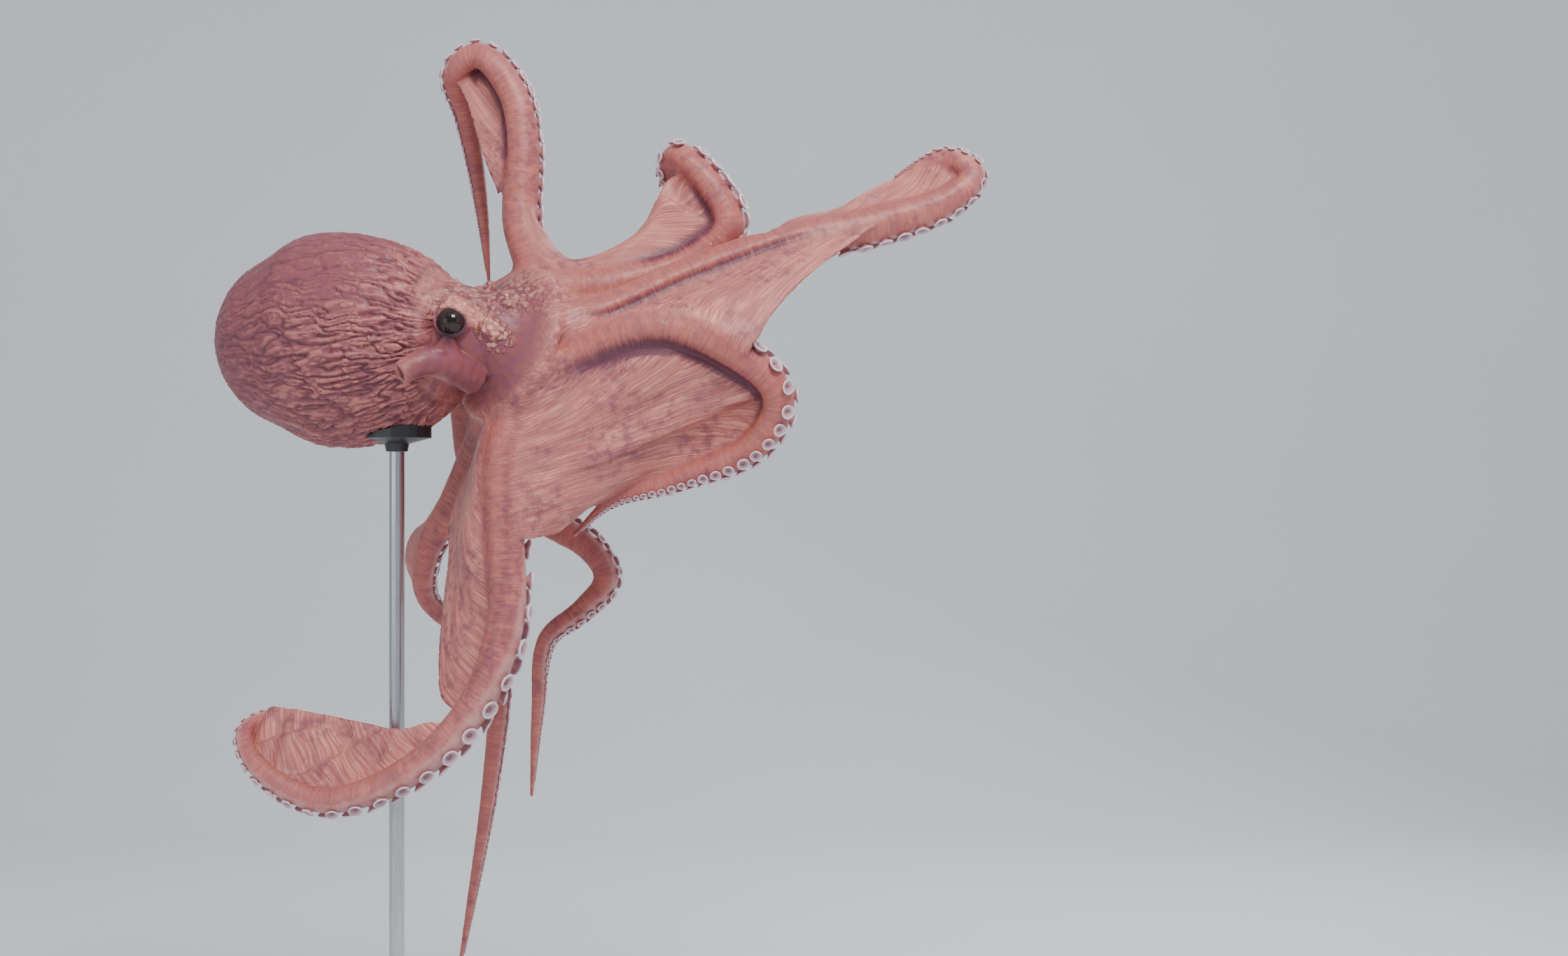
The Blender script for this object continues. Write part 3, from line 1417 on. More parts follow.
    def lie(self, points: Array, place: dict) -> Array:
        """Running measures across and along the fibres of the skin.

        Args:
            points: places of the skin's corners.
            place: what Anatomy.read gives.

        Returns:
            Rows of three: across the fibres, along them, and a number for the part.
        """
        turn = np.arctan2(place["across"], -place["mouthward"])
        lie = np.stack([place["travelled"], turn * 0.024 * place["size"], place["arm"] * 1.0], axis=1)
        tree_points, measures = [], []
        for k, web in enumerate(self.anatomy.webs):
            middle = web.middles()
            rows, columns = middle.shape[:2]
            v, u = np.meshgrid(np.linspace(0, 1, rows), np.linspace(0, 1, columns), indexing="ij")
            step_v = np.gradient(middle, axis=0) * (rows - 1)
            step_u = np.gradient(middle, axis=1) * (columns - 1)
            tree_points.append(middle.reshape(-1, 3))
            measures.append(np.concatenate([v.reshape(-1, 1), u.reshape(-1, 1), step_v.reshape(-1, 3),
                                            step_u.reshape(-1, 3), np.full((v.size, 1), 20.0 + k)], axis=1))
        tree_points, measures = np.concatenate(tree_points), np.concatenate(measures)
        tree = KDTree(len(tree_points))
        for i, p in enumerate(tree_points.tolist()):
            tree.insert(p, i)
        tree.balance()
        webs = np.flatnonzero(place[Area.WEB] > 0.02)
        found = np.array([tree.find(p)[1] for p in points[webs].tolist()], dtype=int)
        near = measures[found]
        offset = points[webs] - tree_points[found]
        step_v, step_u = near[:, 2:5], near[:, 5:8]
        vv, uu = np.sum(step_v ** 2, axis=1), np.sum(step_u ** 2, axis=1)
        uv = np.sum(step_v * step_u, axis=1)
        dv, du = np.sum(offset * step_v, axis=1), np.sum(offset * step_u, axis=1)
        whole = np.maximum(vv * uu - uv * uv, 1e-12)
        v = near[:, 0] + (dv * uu - du * uv) / whole
        u = near[:, 1] + (du * vv - dv * uv) / whole
        lie[webs] = np.stack([v * 0.45, u * 0.25, near[:, 8]], axis=1)
        return lie


@dataclass
class SuckerRows:
    """The two rows of suckers along one arm, joined in one mesh."""

    arm: Arm
    largest: float = 0.0125
    smallest: float = 0.0012
    spacing: float = 2.3
    offset: float = 0.47
    splay: float = 0.42
    seed: int = SEED

    # Radius, height and paleness down the sucker's outside and into its cup.
    PROFILE = ((0.46, -0.50, 0.00), (0.44, -0.10, 0.05), (0.60, 0.12, 0.20), (0.90, 0.30, 0.55),
               (1.00, 0.42, 0.95), (0.96, 0.54, 1.00), (0.84, 0.56, 0.95), (0.70, 0.44, 0.70),
               (0.42, 0.34, 0.60), (0.33, 0.26, 0.35), (0.28, 0.08, 0.10))

    def template(self, segments: int, fine: bool) -> tuple:
        """One sucker of radius 1 about the third axis.

        Args:
            segments: corners round its rim.
            fine: whether every step of the profile is kept.

        Returns:
            Points, faces and the paleness of each point.
        """
        profile = self.PROFILE if fine else self.PROFILE[1::2]
        turn = np.linspace(0, math.tau, segments, endpoint=False)
        points = [(r * math.cos(a), r * math.sin(a), z) for r, z, pale in profile for a in turn]
        pale = [share for r, z, share in profile for a in turn]
        points.append((0.0, 0.0, profile[-1][1] - 0.04))
        pale.append(profile[-1][2])
        faces = grid_faces(len(profile), segments, True)
        last = (len(profile) - 1) * segments
        faces += [(last + i, last + (i + 1) % segments, len(points) - 1) for i in range(segments)]
        return np.array(points), faces, np.array(pale)

    def places(self) -> list:
        """Where each sucker sits.

        Returns:
            The middle, the axis, the radius and the turn about the axis of each.
        """
        arm = self.arm
        usual = (self.largest, self.spacing, 0.0, 0.0)
        largest, spacing, first_turned, turned = SUCKER_WAYS.get(arm.name, usual)
        spots = []
        travelled = 0.012
        side = 1
        draw = np.random.default_rng(self.seed + ARM_ORDER.index(arm.name))
        while travelled < arm.length * 0.985:
            ring = travelled / arm.length * RINGS
            size = float(arm.at(arm.sizes, np.array(ring)))
            start = 0.45 + 0.55 * min(1.0, travelled / 0.13)
            radius = largest * start * size ** 1.15 * draw.uniform(0.93, 1.05)
            if radius < self.smallest:
                break
            along = arm.at(arm.along, np.array(ring))
            out = arm.at(arm.mouthward, np.array(ring))
            front = np.array((0.0, -1.0, 0.0))
            front = unit(front - along * (front @ along) - out * (front @ out))
            roll = turned * float(smoothstep(first_turned - 1.5, first_turned + 1.5, np.array(ring)))
            out = out * math.cos(roll) + front * math.sin(roll)
            across = np.cross(along, out) * side
            splay = self.splay + draw.normal(0, 0.09)
            tilt = draw.normal(0, 0.09)
            axis = unit(out * math.cos(splay) + across * math.sin(splay) + along * tilt)
            middle = arm.at(arm.middles, np.array(ring))
            middle = middle + out * (ARM_HALF_HEIGHT * size * 0.76 + radius * 0.12)
            middle = middle + across * ARM_HALF_WIDTH * size * self.offset
            spots.append((middle, axis, radius, draw.uniform(0, math.tau)))
            travelled += radius * spacing / 2 * 1.06
            side = -side
        return spots

    def build(self) -> Piece:
        """Makes the joined suckers.

        Returns:
            The new object.
        """
        kinds = {0: self.template(20, True), 1: self.template(14, True), 2: self.template(8, False)}
        points, faces, pale = [], [], []
        count = 0
        for middle, axis, radius, turn in self.places():
            kind = 0 if radius > 0.0085 else 1 if radius > 0.004 else 2
            shape, sides, shades = kinds[kind]
            side = unit(np.cross(axis, (0.31, 0.52, 0.79)))
            other = np.cross(axis, side)
            x = side * math.cos(turn) + other * math.sin(turn)
            frame_axes = np.stack([x, np.cross(axis, x), axis])
            points.append(middle + shape @ frame_axes * radius)
            faces += [tuple(i + count for i in face) for face in sides]
            pale.append(shades)
            count += len(shape)
        made = add_mesh(f"suckers_{self.arm.name}", np.concatenate(points), faces)
        layer = made.data.attributes.new("pale", "FLOAT", "POINT")
        layer.data.foreach_set("value", np.concatenate(pale).astype(np.float32))
        return made


class Nodes:
    """A short way to write a material's nodes."""

    def __init__(self, tree: Tree) -> None:
        """Empties a node tree.

        Args:
            tree: the tree to build in.
        """
        self.tree = tree
        tree.nodes.clear()

    def add(self, kind: str, inputs: dict | None = None, **values: object) -> bpy.types.Node:
        """Adds a node.

        Args:
            kind: the node's type, without its ShaderNode prefix.
            inputs: values or sockets for its inputs, by name or number.
            **values: the node's own settings.

        Returns:
            The node.
        """
        node = self.tree.nodes.new(f"ShaderNode{kind}")
        for key, value in values.items():
            setattr(node, key, value)
        for key, value in (inputs or {}).items():
            socket = node.inputs[key]
            if isinstance(value, Socket):
                self.tree.links.new(value, socket)
            else:
                socket.default_value = value
        return node

    def math(self, operation: str, first: object, second: object = 0.0) -> Socket:
        """A Math node's result, from two values or sockets."""
        return self.add("Math", {0: first, 1: second}, operation=operation).outputs[0]

    def times(self, first: object, second: object) -> Socket:
        """The product of two values or sockets."""
        return self.math("MULTIPLY", first, second)

    def plus(self, first: object, second: object) -> Socket:
        """The sum of two values or sockets."""
        return self.math("ADD", first, second)

    def mask(self, area: Area) -> Socket:
        """The mask that is stored on the mesh for an area."""
        return self.add("Attribute", attribute_name=area.value).outputs["Fac"]

    def mix(self, share: object, first: object, second: object) -> Socket:
        """Mixes a share of the second colour into the first."""
        return self.add("Mix", {0: share, 6: first, 7: second}, data_type="RGBA").outputs[2]

    def noise(self, place: Socket, scale: float, detail: float,
              roughness: float = 0.5) -> Socket:
        """A noise texture's value.

        Args:
            place: the coordinates' socket.
            scale: waves to the metre.
            detail: how many finer layers it has.
            roughness: how strong the finer layers are.

        Returns:
            The output socket.
        """
        values = {"Vector": place, "Scale": scale, "Detail": detail, "Roughness": roughness}
        return self.add("TexNoise", values).outputs[0]

    def range(self, value: object, low: float, high: float, start: float = 0.0,
              end: float = 1.0) -> Socket:
        """Maps a value smoothly from one range to another.

        Args:
            value: value or socket.
            low: the range's lower end.
            high: the range's upper end.
            start: result at low.
            end: result at high.

        Returns:
            The output socket.
        """
        node = self.add("MapRange", {0: value, 1: low, 2: high, 3: start, 4: end},
                        interpolation_type="SMOOTHSTEP")
        return node.outputs[0]

    def surface(self, values: dict) -> None:
        """Ends a material with a Principled shader.

        Args:
            values: values or sockets for its inputs, by name.
        """
        shader = self.add("BsdfPrincipled", values)
        drain = self.add("OutputMaterial")
        self.tree.links.new(shader.outputs[0], drain.inputs["Surface"])


def new_material(name: str) -> tuple:
    """Starts a material.

    Args:
        name: its name.

    Returns:
        The material and its Nodes helper.
    """
    made = bpy.data.materials.new(name)
    made.use_nodes = True
    return made, Nodes(made.node_tree)


def new_group(name: str, inputs: dict, outputs: tuple) -> tuple:
    """Starts a shader node group whose sockets are plain numbers.

    Args:
        name: the group's name.
        inputs: default value of each input socket, by name.
        outputs: names of the output sockets.

    Returns:
        The group, its Nodes helper, its input node and its output node.
    """
    group = bpy.data.node_groups.new(name, "ShaderNodeTree")
    for key, value in inputs.items():
        socket = group.interface.new_socket(key, in_out="INPUT", socket_type="NodeSocketFloat")
        socket.default_value = value
    for key in outputs:
        group.interface.new_socket(key, in_out="OUTPUT", socket_type="NodeSocketFloat")
    nodes = Nodes(group)
    return group, nodes, group.nodes.new("NodeGroupInput"), group.nodes.new("NodeGroupOutput")


def freckles_group() -> Tree:
    """Small colour cells of the skin: how dark each place is, and a fine grain.

    Returns:
        The group.
    """
    group, nodes, source, drain = new_group(
        "freckles", {"Scale": 420.0, "Cover": 0.5}, ("Dots", "Grain"))
    place = nodes.add("TexCoord").outputs["Object"]
    cells = nodes.add("TexVoronoi", {"Vector": place, "Scale": source.outputs["Scale"], "Randomness": 1.0})
    patch = nodes.noise(place, 38.0, 3.0)
    size = nodes.times(nodes.times(patch, source.outputs["Cover"]), 1.1)
    near = nodes.math("SUBTRACT", size, cells.outputs["Distance"])
    dots = nodes.range(near, -0.12, 0.22)
    grain = nodes.noise(place, 900.0, 4.0, 0.6)
    group.links.new(dots, drain.inputs["Dots"])
    group.links.new(grain, drain.inputs["Grain"])
    return group


def papillae_group() -> Tree:
    """Small round papillae in two sizes: how high each place stands.

    Returns:
        The group.
    """
    group, nodes, source, drain = new_group(
        "papillae", {"Scale": 120.0, "Cover": 0.5}, ("Height",))
    place = nodes.add("TexCoord").outputs["Object"]
    sway = nodes.add("TexNoise", {"Vector": place, "Scale": 60.0, "Detail": 2.0}).outputs["Color"]
    sway = nodes.add("VectorMath", {0: sway, 3: 0.006}, operation="SCALE").outputs[0]
    place = nodes.add("VectorMath", {0: place, 1: sway}, operation="ADD").outputs[0]
    sizes = []
    for factor in (1.0, 2.1):
        scale = nodes.times(source.outputs["Scale"], factor)
        cells = nodes.add("TexVoronoi", {"Vector": place, "Scale": scale, "Randomness": 0.9})
        sizes.append(nodes.range(cells.outputs["Distance"], 0.66, 0.16))
    patch = nodes.noise(place, 42.0, 2.0)
    cover = nodes.math("SUBTRACT", source.outputs["Cover"], 0.5)
    chosen = nodes.range(nodes.plus(patch, cover), 0.40, 0.60)
    height = nodes.plus(nodes.times(sizes[0], chosen), nodes.times(sizes[1], 0.30))
    group.links.new(nodes.math("MINIMUM", height, 1.0), drain.inputs["Height"])
    return group


def fibres_group() -> Tree:
    """Fine streaks that lie along the fibres stored on the skin.

    Returns:
        The group.
    """
    group, nodes, source, drain = new_group(
        "fibres", {"Across": 260.0, "Along": 22.0}, ("Streaks", "Bands"))
    lie = nodes.add("Attribute", attribute_name="lie").outputs["Vector"]
    place = nodes.add("TexCoord").outputs["Object"]
    sway = nodes.add("TexNoise", {"Vector": place, "Scale": 26.0, "Detail": 2.0}).outputs["Color"]
    sway = nodes.add("VectorMath", {0: sway, 1: (0.5, 0.5, 0.5)}, operation="SUBTRACT").outputs[0]
    sway = nodes.add("VectorMath", {0: sway, 3: 0.012}, operation="SCALE").outputs[0]
    lie = nodes.add("VectorMath", {0: lie, 1: sway}, operation="ADD").outputs[0]
    parts = nodes.add("SeparateXYZ", {0: lie}).outputs
    stretched = nodes.add("CombineXYZ", {0: nodes.times(parts[0], source.outputs["Across"]),
                                         1: nodes.times(parts[1], source.outputs["Along"]),
                                         2: parts[2]}).outputs[0]
    streaks = nodes.noise(stretched, 1.0, 5.0, 0.62)
    wide = nodes.add("VectorMath", {0: stretched, 1: (0.16, 0.55, 1.0)}, operation="MULTIPLY").outputs[0]
    bands = nodes.noise(wide, 1.0, 2.0)
    group.links.new(nodes.range(streaks, 0.36, 0.68), drain.inputs["Streaks"])
    group.links.new(nodes.range(bands, 0.34, 0.66), drain.inputs["Bands"])
    return group


@dataclass(frozen=True)
class FleshFinish:
    """Colours and gloss of the animal's skin."""

    web: tuple = (0.50, 0.135, 0.115, 1.0)
    web_light: tuple = (0.88, 0.390, 0.300, 1.0)
    web_shade: tuple = (0.215, 0.058, 0.095, 1.0)
    crest: tuple = (0.42, 0.110, 0.082, 1.0)
    furrow: tuple = (0.080, 0.020, 0.052, 1.0)
    mantle: tuple = (0.27, 0.075, 0.088, 1.0)
    mantle_light: tuple = (0.55, 0.195, 0.165, 1.0)
    gap: tuple = (0.060, 0.016, 0.030, 1.0)
    head: tuple = (0.25, 0.066, 0.072, 1.0)
    papilla: tuple = (0.76, 0.370, 0.290, 1.0)
    brow: tuple = (0.78, 0.300, 0.210, 1.0)
    under: tuple = (0.58, 0.290, 0.280, 1.0)
    mauve: tuple = (0.46, 0.240, 0.270, 1.0)
    lid: tuple = (0.055, 0.022, 0.034, 1.0)
    roughness: float = 0.47

    def arms_and_webs(self, nodes: Nodes, noise: dict, streaks: object) -> object:
        """The colour of webs, arms' backs and sucker sides.

        Args:
            nodes: the material's Nodes helper.
            noise: sockets of the shared noises, by name.
            streaks: the fibres group's output sockets.

        Returns:
            The colour's socket.
        """
        fibres, bands = streaks["Streaks"], streaks["Bands"]
        plain = nodes.math("SUBTRACT", 0.85, nodes.times(nodes.mask(Area.ARM), 0.60))
        web = nodes.mix(nodes.times(fibres, plain), self.web, self.web_light)
        web = nodes.mix(nodes.times(nodes.math("SUBTRACT", 1.0, bands), 0.40), web, self.web_shade)
        blotch = nodes.times(nodes.range(noise["cloud"], 0.55, 0.40), noise["mottle"])
        web = nodes.mix(nodes.times(blotch, 0.70), web, self.web_shade)
        crest = nodes.mix(nodes.times(noise["mottle"], 0.55), self.crest, self.web_shade)
        crest = nodes.mix(nodes.times(fibres, 0.16), crest, self.web_light)
        share = nodes.times(nodes.mask(Area.CREST), 0.70)
        colour = nodes.mix(share, web, crest)
        feather = nodes.times(nodes.math("SUBTRACT", fibres, 0.5), -0.24)
        feathered = nodes.plus(nodes.mask(Area.GROOVE), feather)
        colour = nodes.mix(nodes.times(nodes.range(feathered, 0.10, 0.95), 0.88), colour, self.furrow)
        under = nodes.mix(nodes.times(noise["mottle"], 0.5), self.under, self.web)
        return nodes.mix(nodes.mask(Area.SUCKER_SIDE), colour, under)

    def body(self, nodes: Nodes, noise: dict, bumps: object, colour: object) -> object:
        """Adds the colours of the mantle, head, brow, funnel and sockets.

        Args:
            nodes: the material's Nodes helper.
            noise: sockets of the shared noises, by name.
            bumps: the papillae's height.
            colour: the socket of the colour so far.

        Returns:
            The colour's socket.
        """
        hollow = nodes.mask(Area.HOLLOW)
        ridge = nodes.range(hollow, 0.42, 0.04)
        mantle = nodes.mix(nodes.times(ridge, 0.85), self.mantle, self.mantle_light)
        mantle = nodes.mix(nodes.times(noise["mottle"], 0.40), mantle, self.web_shade)
        mantle = nodes.mix(nodes.times(nodes.range(hollow, 0.46, 0.92), 0.90), mantle, self.gap)
        colour = nodes.mix(nodes.mask(Area.MANTLE), colour, mantle)
        head = nodes.mix(nodes.times(noise["mottle"], 0.85), self.head, self.web_shade)
        head = nodes.mix(nodes.times(nodes.range(hollow, 0.60, 0.20), 0.35), head, self.papilla)
        colour = nodes.mix(nodes.mask(Area.HEAD), colour, head)
        patch = nodes.times(nodes.mask(Area.BROW), nodes.range(noise["fine"], 0.66, 0.44, 0.45, 1.0))
        colour = nodes.mix(patch, colour, self.brow)
        pebble = nodes.mask(Area.PEBBLE)
        dark = nodes.times(nodes.range(bumps, 0.45, 0.05), nodes.range(pebble, 0.35, 0.85, 0.0, 0.75))
        colour = nodes.mix(dark, colour, self.web_shade)
        pale = nodes.times(nodes.range(bumps, 0.25, 0.90), nodes.range(pebble, 0.25, 0.90, 0.25, 0.90))
        colour = nodes.mix(pale, colour, self.papilla)
        mauve = nodes.mix(nodes.times(noise["mottle"], 0.35), self.mauve, self.web_shade)
        colour = nodes.mix(nodes.mask(Area.FUNNEL), colour, mauve)
        return nodes.mix(nodes.mask(Area.SOCKET), colour, self.lid)

    def material(self, freckles: Tree, fibres: Tree,
                 papillae: Tree) -> Material:
        """Builds the skin's material.

        Args:
            freckles: the group of colour cells.
            fibres: the group of streaks.
            papillae: the group of small bumps.

        Returns:
            The material.
        """
        made, nodes = new_material("flesh")
        place = nodes.add("TexCoord").outputs["Object"]
        dots = nodes.add("Group", node_tree=freckles).outputs
        streaks = nodes.add("Group", node_tree=fibres).outputs
        cloud = nodes.noise(place, 13.0, 4.0, 0.55)
        fine = nodes.noise(place, 78.0, 5.0, 0.62)
        noise = {"cloud": cloud, "fine": fine, "mottle": nodes.range(fine, 0.42, 0.64)}
        pebble = nodes.mask(Area.PEBBLE)
        cover = nodes.plus(pebble, 0.40)
        bumps = nodes.add("Group", {"Cover": cover}, node_tree=papillae).outputs["Height"]
        bumps = nodes.times(bumps, nodes.range(pebble, 0.02, 0.40))
        colour = self.body(nodes, noise, bumps, self.arms_and_webs(nodes, noise, streaks))
        speck = nodes.math("SUBTRACT", 0.40, nodes.times(nodes.mask(Area.SUCKER_SIDE), 0.3))
        colour = nodes.mix(nodes.times(dots["Dots"], speck), colour, self.web_shade)
        grain = nodes.times(dots["Grain"], 0.55)
        threads = nodes.plus(nodes.times(nodes.mask(Area.WEB), 0.9), 0.08)
        threads = nodes.times(streaks["Streaks"], threads)
        height = nodes.plus(grain, nodes.plus(threads, nodes.times(fine, 0.8)))
        raised = nodes.add("Bump", {"Strength": 0.9, "Distance": 0.0026, "Height": bumps}).outputs[0]
        bump = nodes.add("Bump", {"Strength": 0.55, "Distance": 0.0008, "Height": height, "Normal": raised})
        rough = nodes.range(fine, 0.3, 0.7, self.roughness - 0.07, self.roughness + 0.10)
        nodes.surface({
            "Base Color": colour, "Roughness": rough, "Normal": bump.outputs[0], "Subsurface Weight": 0.14,
            "Subsurface Scale": 0.005, "Subsurface Radius": (1.0, 0.35, 0.25), "Specular IOR Level": 0.42,
            "Coat Weight": 0.10, "Coat Roughness": 0.28})
        return made


@dataclass(frozen=True)
class SuckerFinish:
    """Colours and gloss of the suckers."""

    stalk: tuple = (0.46, 0.20, 0.19, 1.0)
    rim: tuple = (0.78, 0.62, 0.68, 1.0)
    cup: tuple = (0.40, 0.21, 0.27, 1.0)
    roughness: float = 0.36

    def material(self, freckles: Tree) -> Material:
        """Builds the suckers' material.

        Args:
            freckles: the group of colour cells.

        Returns:
            The material.
        """
        made, nodes = new_material("suckers")
        place = nodes.add("TexCoord").outputs["Object"]
        dots = nodes.add("Group", {"Scale": 700.0, "Cover": 0.35}, node_tree=freckles)
        pale = nodes.add("Attribute", attribute_name="pale").outputs["Fac"]
        cloud = nodes.noise(place, 160.0, 3.0)
        colour = nodes.mix(nodes.range(pale, 0.05, 0.45), self.stalk, self.cup)
        colour = nodes.mix(nodes.range(pale, 0.45, 0.98), colour, self.rim)
        colour = nodes.mix(nodes.times(nodes.range(cloud, 0.45, 0.7), 0.3), colour, self.cup)
        colour = nodes.mix(nodes.times(dots.outputs["Dots"], 0.18), colour, self.stalk)
        bump = nodes.add("Bump", {"Strength": 0.4, "Distance": 0.0004, "Height": dots.outputs["Grain"]})
        nodes.surface({"Base Color": colour, "Roughness": self.roughness,
                       "Normal": bump.outputs[0], "Subsurface Weight": 0.2,
                       "Subsurface Scale": 0.004, "Subsurface Radius": (1.0, 0.5, 0.45),
                       "Coat Weight": 0.15, "Coat Roughness": 0.25})
        return made


@dataclass(frozen=True)
class EyeFinish:
    """Colours of the eyeball."""

    white: tuple = (0.022, 0.012, 0.016, 1.0)
    iris: tuple = (0.050, 0.028, 0.018, 1.0)
    iris_dark: tuple = (0.012, 0.007, 0.008, 1.0)
    pupil: tuple = (0.004, 0.004, 0.006, 1.0)

    def material(self, eye: Eye) -> Material:
        """Builds the eyeball's material.

        Args:
            eye: the eye it is for.

        Returns:
            The material.
        """
        made, nodes = new_material(f"eye_{eye.name}")
        place = nodes.add("TexCoord").outputs["Object"]
        ray = nodes.add("VectorMath", {0: place, 1: tuple(eye.middle)}, operation="SUBTRACT").outputs[0]
        ray = nodes.add("VectorMath", {0: ray, 3: 1 / eye.radius}, operation="SCALE").outputs[0]
        gaze, level, up = eye.axes()
        x, y, z = (nodes.add("VectorMath", {0: ray, 1: tuple(axis)}, operation="DOT_PRODUCT").outputs["Value"]
                   for axis in (level, up, gaze))
        ring = nodes.math("SQRT", nodes.plus(nodes.times(x, x), nodes.times(y, y)))
        turn = nodes.times(nodes.math("ARCTAN2", y, x), 7.0)
        spokes = nodes.add("CombineXYZ", {0: turn, 1: nodes.times(ring, 1.5), 2: 0.0}).outputs[0]
        rays = nodes.noise(spokes, 1.0, 4.0)
        iris = nodes.mix(nodes.range(rays, 0.35, 0.65), self.iris_dark, self.iris)
        colour = nodes.mix(nodes.range(ring, 0.62, 0.72), iris, self.white)
        droop = nodes.times(nodes.times(x, x), 0.35)
        height = nodes.math("ABSOLUTE", nodes.plus(y, nodes.math("SUBTRACT", droop, 0.03)))
        width = nodes.math("POWER", nodes.times(nodes.math("ABSOLUTE", x), 1.95), 4.0)
        bar = nodes.plus(nodes.times(height, 3.4), width)
        slit = nodes.times(nodes.range(bar, 0.72, 0.58), nodes.math("GREATER_THAN", z, 0.0))
        colour = nodes.mix(slit, colour, self.pupil)
        nodes.surface({"Base Color": colour, "Roughness": 0.12, "Coat Weight": 0.55,
                       "Coat Roughness": 0.02, "Specular IOR Level": 0.12})
        return made


@dataclass(frozen=True)
class StandFinish:
    """Dark satin paint or brushed steel on the stand."""

    name: str
    colour: tuple
    worn: tuple
    roughness: float
    metallic: float
    grain: tuple

    def material(self) -> Material:
        """Builds the material.

        Returns:
            The material.
        """
        made, nodes = new_material(self.name)
        place = nodes.add("TexCoord").outputs["Object"]
        stretched = nodes.add("Mapping", {"Vector": place, "Scale": self.grain}).outputs[0]
        grain = nodes.noise(stretched, 1.0, 5.0)
        cloud = nodes.noise(place, 9.0, 3.0)
        colour = nodes.mix(nodes.range(grain, 0.42, 0.72), self.colour, self.worn)
        tone = nodes.plus(nodes.times(cloud, 0.6), nodes.times(grain, 0.4))
        rough = nodes.range(tone, 0.3, 0.7, self.roughness - 0.06, self.roughness + 0.08)
        bump = nodes.add("Bump", {"Strength": 0.25, "Distance": 0.0002, "Height": grain})
        nodes.surface({"Base Color": colour, "Roughness": rough, "Metallic": self.metallic,
                       "Normal": bump.outputs[0]})
        return made


def plain_material(name: str, colour: tuple, roughness: float, scale: float,
                   depth: float) -> Material:
    """A slightly mottled plain finish.

    Args:
        name: the material's name.
        colour: its colour.
        roughness: its roughness.
        scale: size of the mottling, in waves to the metre.
        depth: how much the mottling darkens it.

    Returns:
        The material.
    """
    made, nodes = new_material(name)
    place = nodes.add("TexCoord").outputs["Object"]
    cloud = nodes.noise(place, scale, 4.0)
    dark = tuple(c * (1 - depth) for c in colour[:3]) + (1.0,)
    tone = nodes.mix(nodes.range(cloud, 0.35, 0.65), colour, dark)
    nodes.surface({"Base Color": tone, "Roughness": roughness})
    return made


def dress(piece: Piece, finish: Material) -> None:
    """Gives a piece one material.

    Args:
        piece: the object.
        finish: the material.
    """
    piece.data.materials.clear()
    piece.data.materials.append(finish)


@dataclass
class Beak:
    """The tip of the beak: two hooked halves in the mouth."""

    radius: float = 0.0085
    length: float = 0.0115
    steps: int = 14
    sides: int = 20

    def build(self) -> Piece:
        """Makes the upper and lower halves and joins them.

        Returns:
            The new object.
        """
        foot = np.array(CROWN_MIDDLE + MOUTH_AXIS * (CROWN_HALF_HEIGHT - 0.0095))
        up, side, out = (np.array(axis) for axis in (CROWN_UP, CROWN_SIDE, MOUTH_AXIS))
        turn = np.linspace(0, math.tau, self.sides, endpoint=False)[:, None]
        count = self.steps * self.sides
        points, faces = [], []
        for half, reach in ((1, 1.0), (-1, 0.82)):
            rings = []
            for share in np.linspace(0, 1, self.steps):
                radius = self.radius * (1 - share ** 1.6) + 0.0004
                bend = -half * self.radius * 0.55 * share ** 2 + half * self.radius * 0.30
                ahead = foot + out * self.length * reach * share
                lift = up * (bend + np.cos(turn) * radius * 0.5)
                rings.append(ahead + lift + side * np.sin(turn) * radius * 0.8)
            base = sum(len(p) for p in points)
            ends = np.stack([rings[0].mean(axis=0), rings[-1].mean(axis=0)])
            faces += [tuple(i + base for i in face) for face in grid_faces(self.steps, self.sides, True)]
            for first, middle in ((base, base + count), (base + count - self.sides, base + count + 1)):
                faces += [(first + i, first + (i + 1) % self.sides, middle) for i in range(self.sides)]
            points.append(np.concatenate([np.array(rings).reshape(-1, 3), ends]))
        return add_mesh("beak_tip", np.concatenate(points), faces)


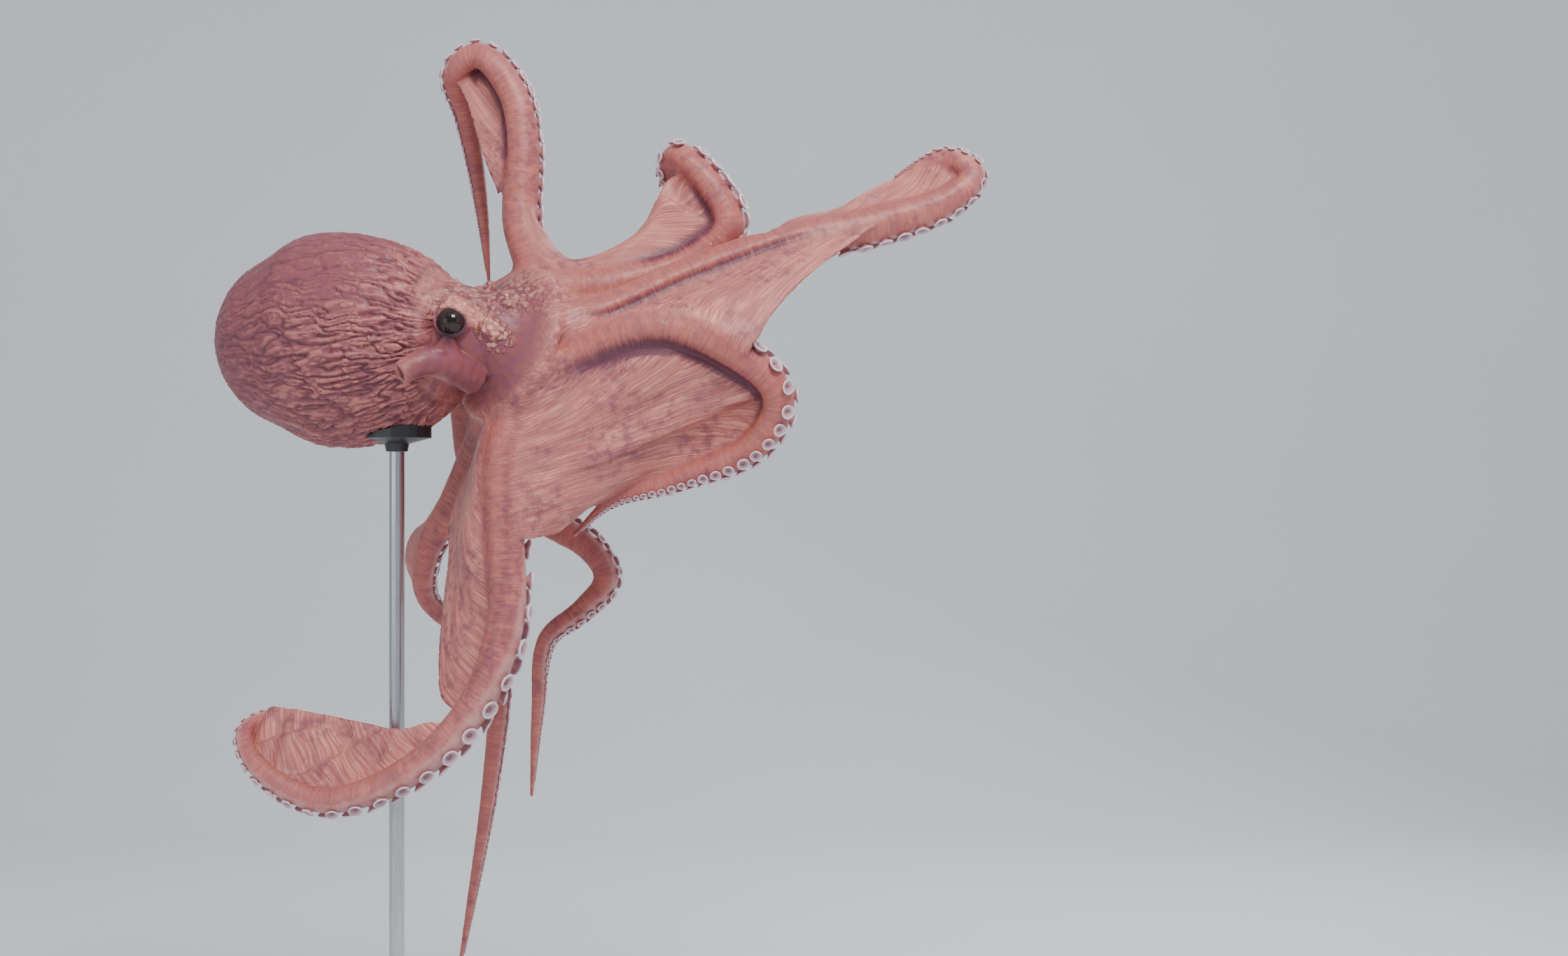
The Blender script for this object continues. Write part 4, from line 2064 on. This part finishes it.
@dataclass
class Studio:
    """A pale floor that sweeps up behind, soft light and the camera."""

    camera_place: tuple = (0.387, -2.8, 0.9)
    lens: float = 50.0
    sensor: float = 36.0

    def floor(self) -> Piece:
        """The floor and backdrop in one sweep.

        Returns:
            The new object.
        """
        turn = np.linspace(0, math.pi / 2, 24)
        profile = [(-9.0, 0.0), (2.6, 0.0)]
        profile += [(2.6 + 1.6 * math.sin(a), 1.6 - 1.6 * math.cos(a)) for a in turn[1:]]
        profile += [(4.2, 7.0)]
        points = np.array([(x, y, z) for x in (-9.0, 9.0) for y, z in profile])
        floor = add_mesh("floor", points, grid_faces(2, len(profile), False), outward=False)
        dress(floor, plain_material("paper", (0.86, 0.87, 0.88, 1.0), 0.9, 1.5, 0.015))
        return floor

    def light(self, name: str, place: tuple, aim: tuple, size: float, power: float, colour: tuple) -> None:
        """Adds a soft square light.

        Args:
            name: the light's name.
            place: where it stands.
            aim: the point it faces.
            size: the side of its square.
            power: its power in watts.
            colour: its colour.
        """
        data = bpy.data.lights.new(name, "AREA")
        data.energy, data.size, data.color = power, size, colour
        lamp = bpy.data.objects.new(name, data)
        lamp.location = place
        lamp.rotation_euler = (Vector(aim) - Vector(place)).to_track_quat("-Z", "Y").to_euler()
        bpy.context.scene.collection.objects.link(lamp)

    def build(self) -> None:
        """Sets up the floor, the lights, the surroundings and the camera."""
        self.floor()
        aim = (0.1, 0.0, 1.0)
        self.light("key", (0.9, -1.7, 3.1), aim, 1.1, 88.0, (1.0, 0.97, 0.94))
        self.light("fill", (-2.4, -2.6, 1.6), aim, 2.2, 24.0, (0.90, 0.94, 1.0))
        self.light("back", (1.6, 2.2, 2.4), aim, 1.4, 36.0, (0.95, 0.97, 1.0))
        world = bpy.data.worlds.new("surroundings")
        world.use_nodes = True
        backing = world.node_tree.nodes["Background"]
        backing.inputs["Color"].default_value = (0.80, 0.86, 0.94, 1.0)
        backing.inputs["Strength"].default_value = 0.60
        bpy.context.scene.world = world
        data = bpy.data.cameras.new("camera")
        data.lens, data.sensor_width = self.lens, self.sensor
        camera = bpy.data.objects.new("camera", data)
        camera.location = self.camera_place
        camera.rotation_euler = (math.pi / 2, 0, 0)
        bpy.context.scene.collection.objects.link(camera)
        bpy.context.scene.camera = camera


def place_piece(piece: Piece, slot: str, *nodes: str) -> None:
    """Tells the frame what a piece rides on, stands for and is finished as.

    Args:
        piece: the object.
        slot: the record's material slot.
        *nodes: solids that it stands for.
    """
    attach(piece, "root")
    if nodes:
        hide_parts(*nodes)
    log.info("%s: %d faces", piece.name, len(piece.data.polygons))


def main() -> None:
    """Builds every piece, dresses the stand and sets up the studio."""
    logging.basicConfig(level=logging.INFO)
    deselect()
    arms = {name: Arm(name, math.radians(FIRST_ARM_ANGLE + ARM_STEP * k)) for k, name in enumerate(ARM_ORDER)}
    webs = [Web(arms[here], arms[there], *reach) for here, there, *reach in WEBS]
    folds = [Fold(arms[name], side, first, last, edge, pleats)
             for name, side, first, last, edge, pleats in FOLDS]
    eyes = [Eye("right", Vector((-0.034, -0.043, 1.097)), Vector((0.02, -0.985, 0.10))),
            Eye("left", Vector((-0.010, 0.060, 1.127)), Vector((-0.30, 0.62, 0.72)))]
    anatomy = Anatomy(arms, webs, Body(), eyes)
    freckles, fibres, papillae = freckles_group(), fibres_group(), papillae_group()

    skin = Skin(anatomy, folds).build()
    dress(skin, FleshFinish().material(freckles, fibres, papillae))
    own = ("stand", "eye", "beak")
    place_piece(skin, "flesh", *[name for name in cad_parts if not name.startswith(own)])

    sucker_finish = SuckerFinish().material(freckles)
    for arm in arms.values():
        rows = SuckerRows(arm).build()
        dress(rows, sucker_finish)
        place_piece(rows, "flesh")
    for eye in eyes:
        ball = eye.ball()
        dress(ball, EyeFinish().material(eye))
        place_piece(ball, "eye", f"eye_{eye.name}")
    tip = Beak().build()
    dress(tip, plain_material("horn", (0.035, 0.018, 0.012, 1.0), 0.28, 220.0, 0.5))
    place_piece(tip, "beak", "beak")

    paint = StandFinish("stand_paint", (0.030, 0.031, 0.034, 1.0), (0.040, 0.041, 0.044, 1.0), 0.42, 0.0,
                        (520.0, 520.0, 520.0)).material()
    steel = StandFinish("rod_steel", (0.56, 0.57, 0.59, 1.0), (0.42, 0.43, 0.45, 1.0), 0.28, 1.0,
                        (2400.0, 2400.0, 14.0)).material()
    for name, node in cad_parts.items():
        if name.startswith("stand"):
            dress(node, steel if name == "stand_rod" else paint)
            log.info("%s: dressed", name)
    Studio().build()


if __name__ == "__main__":
    main()
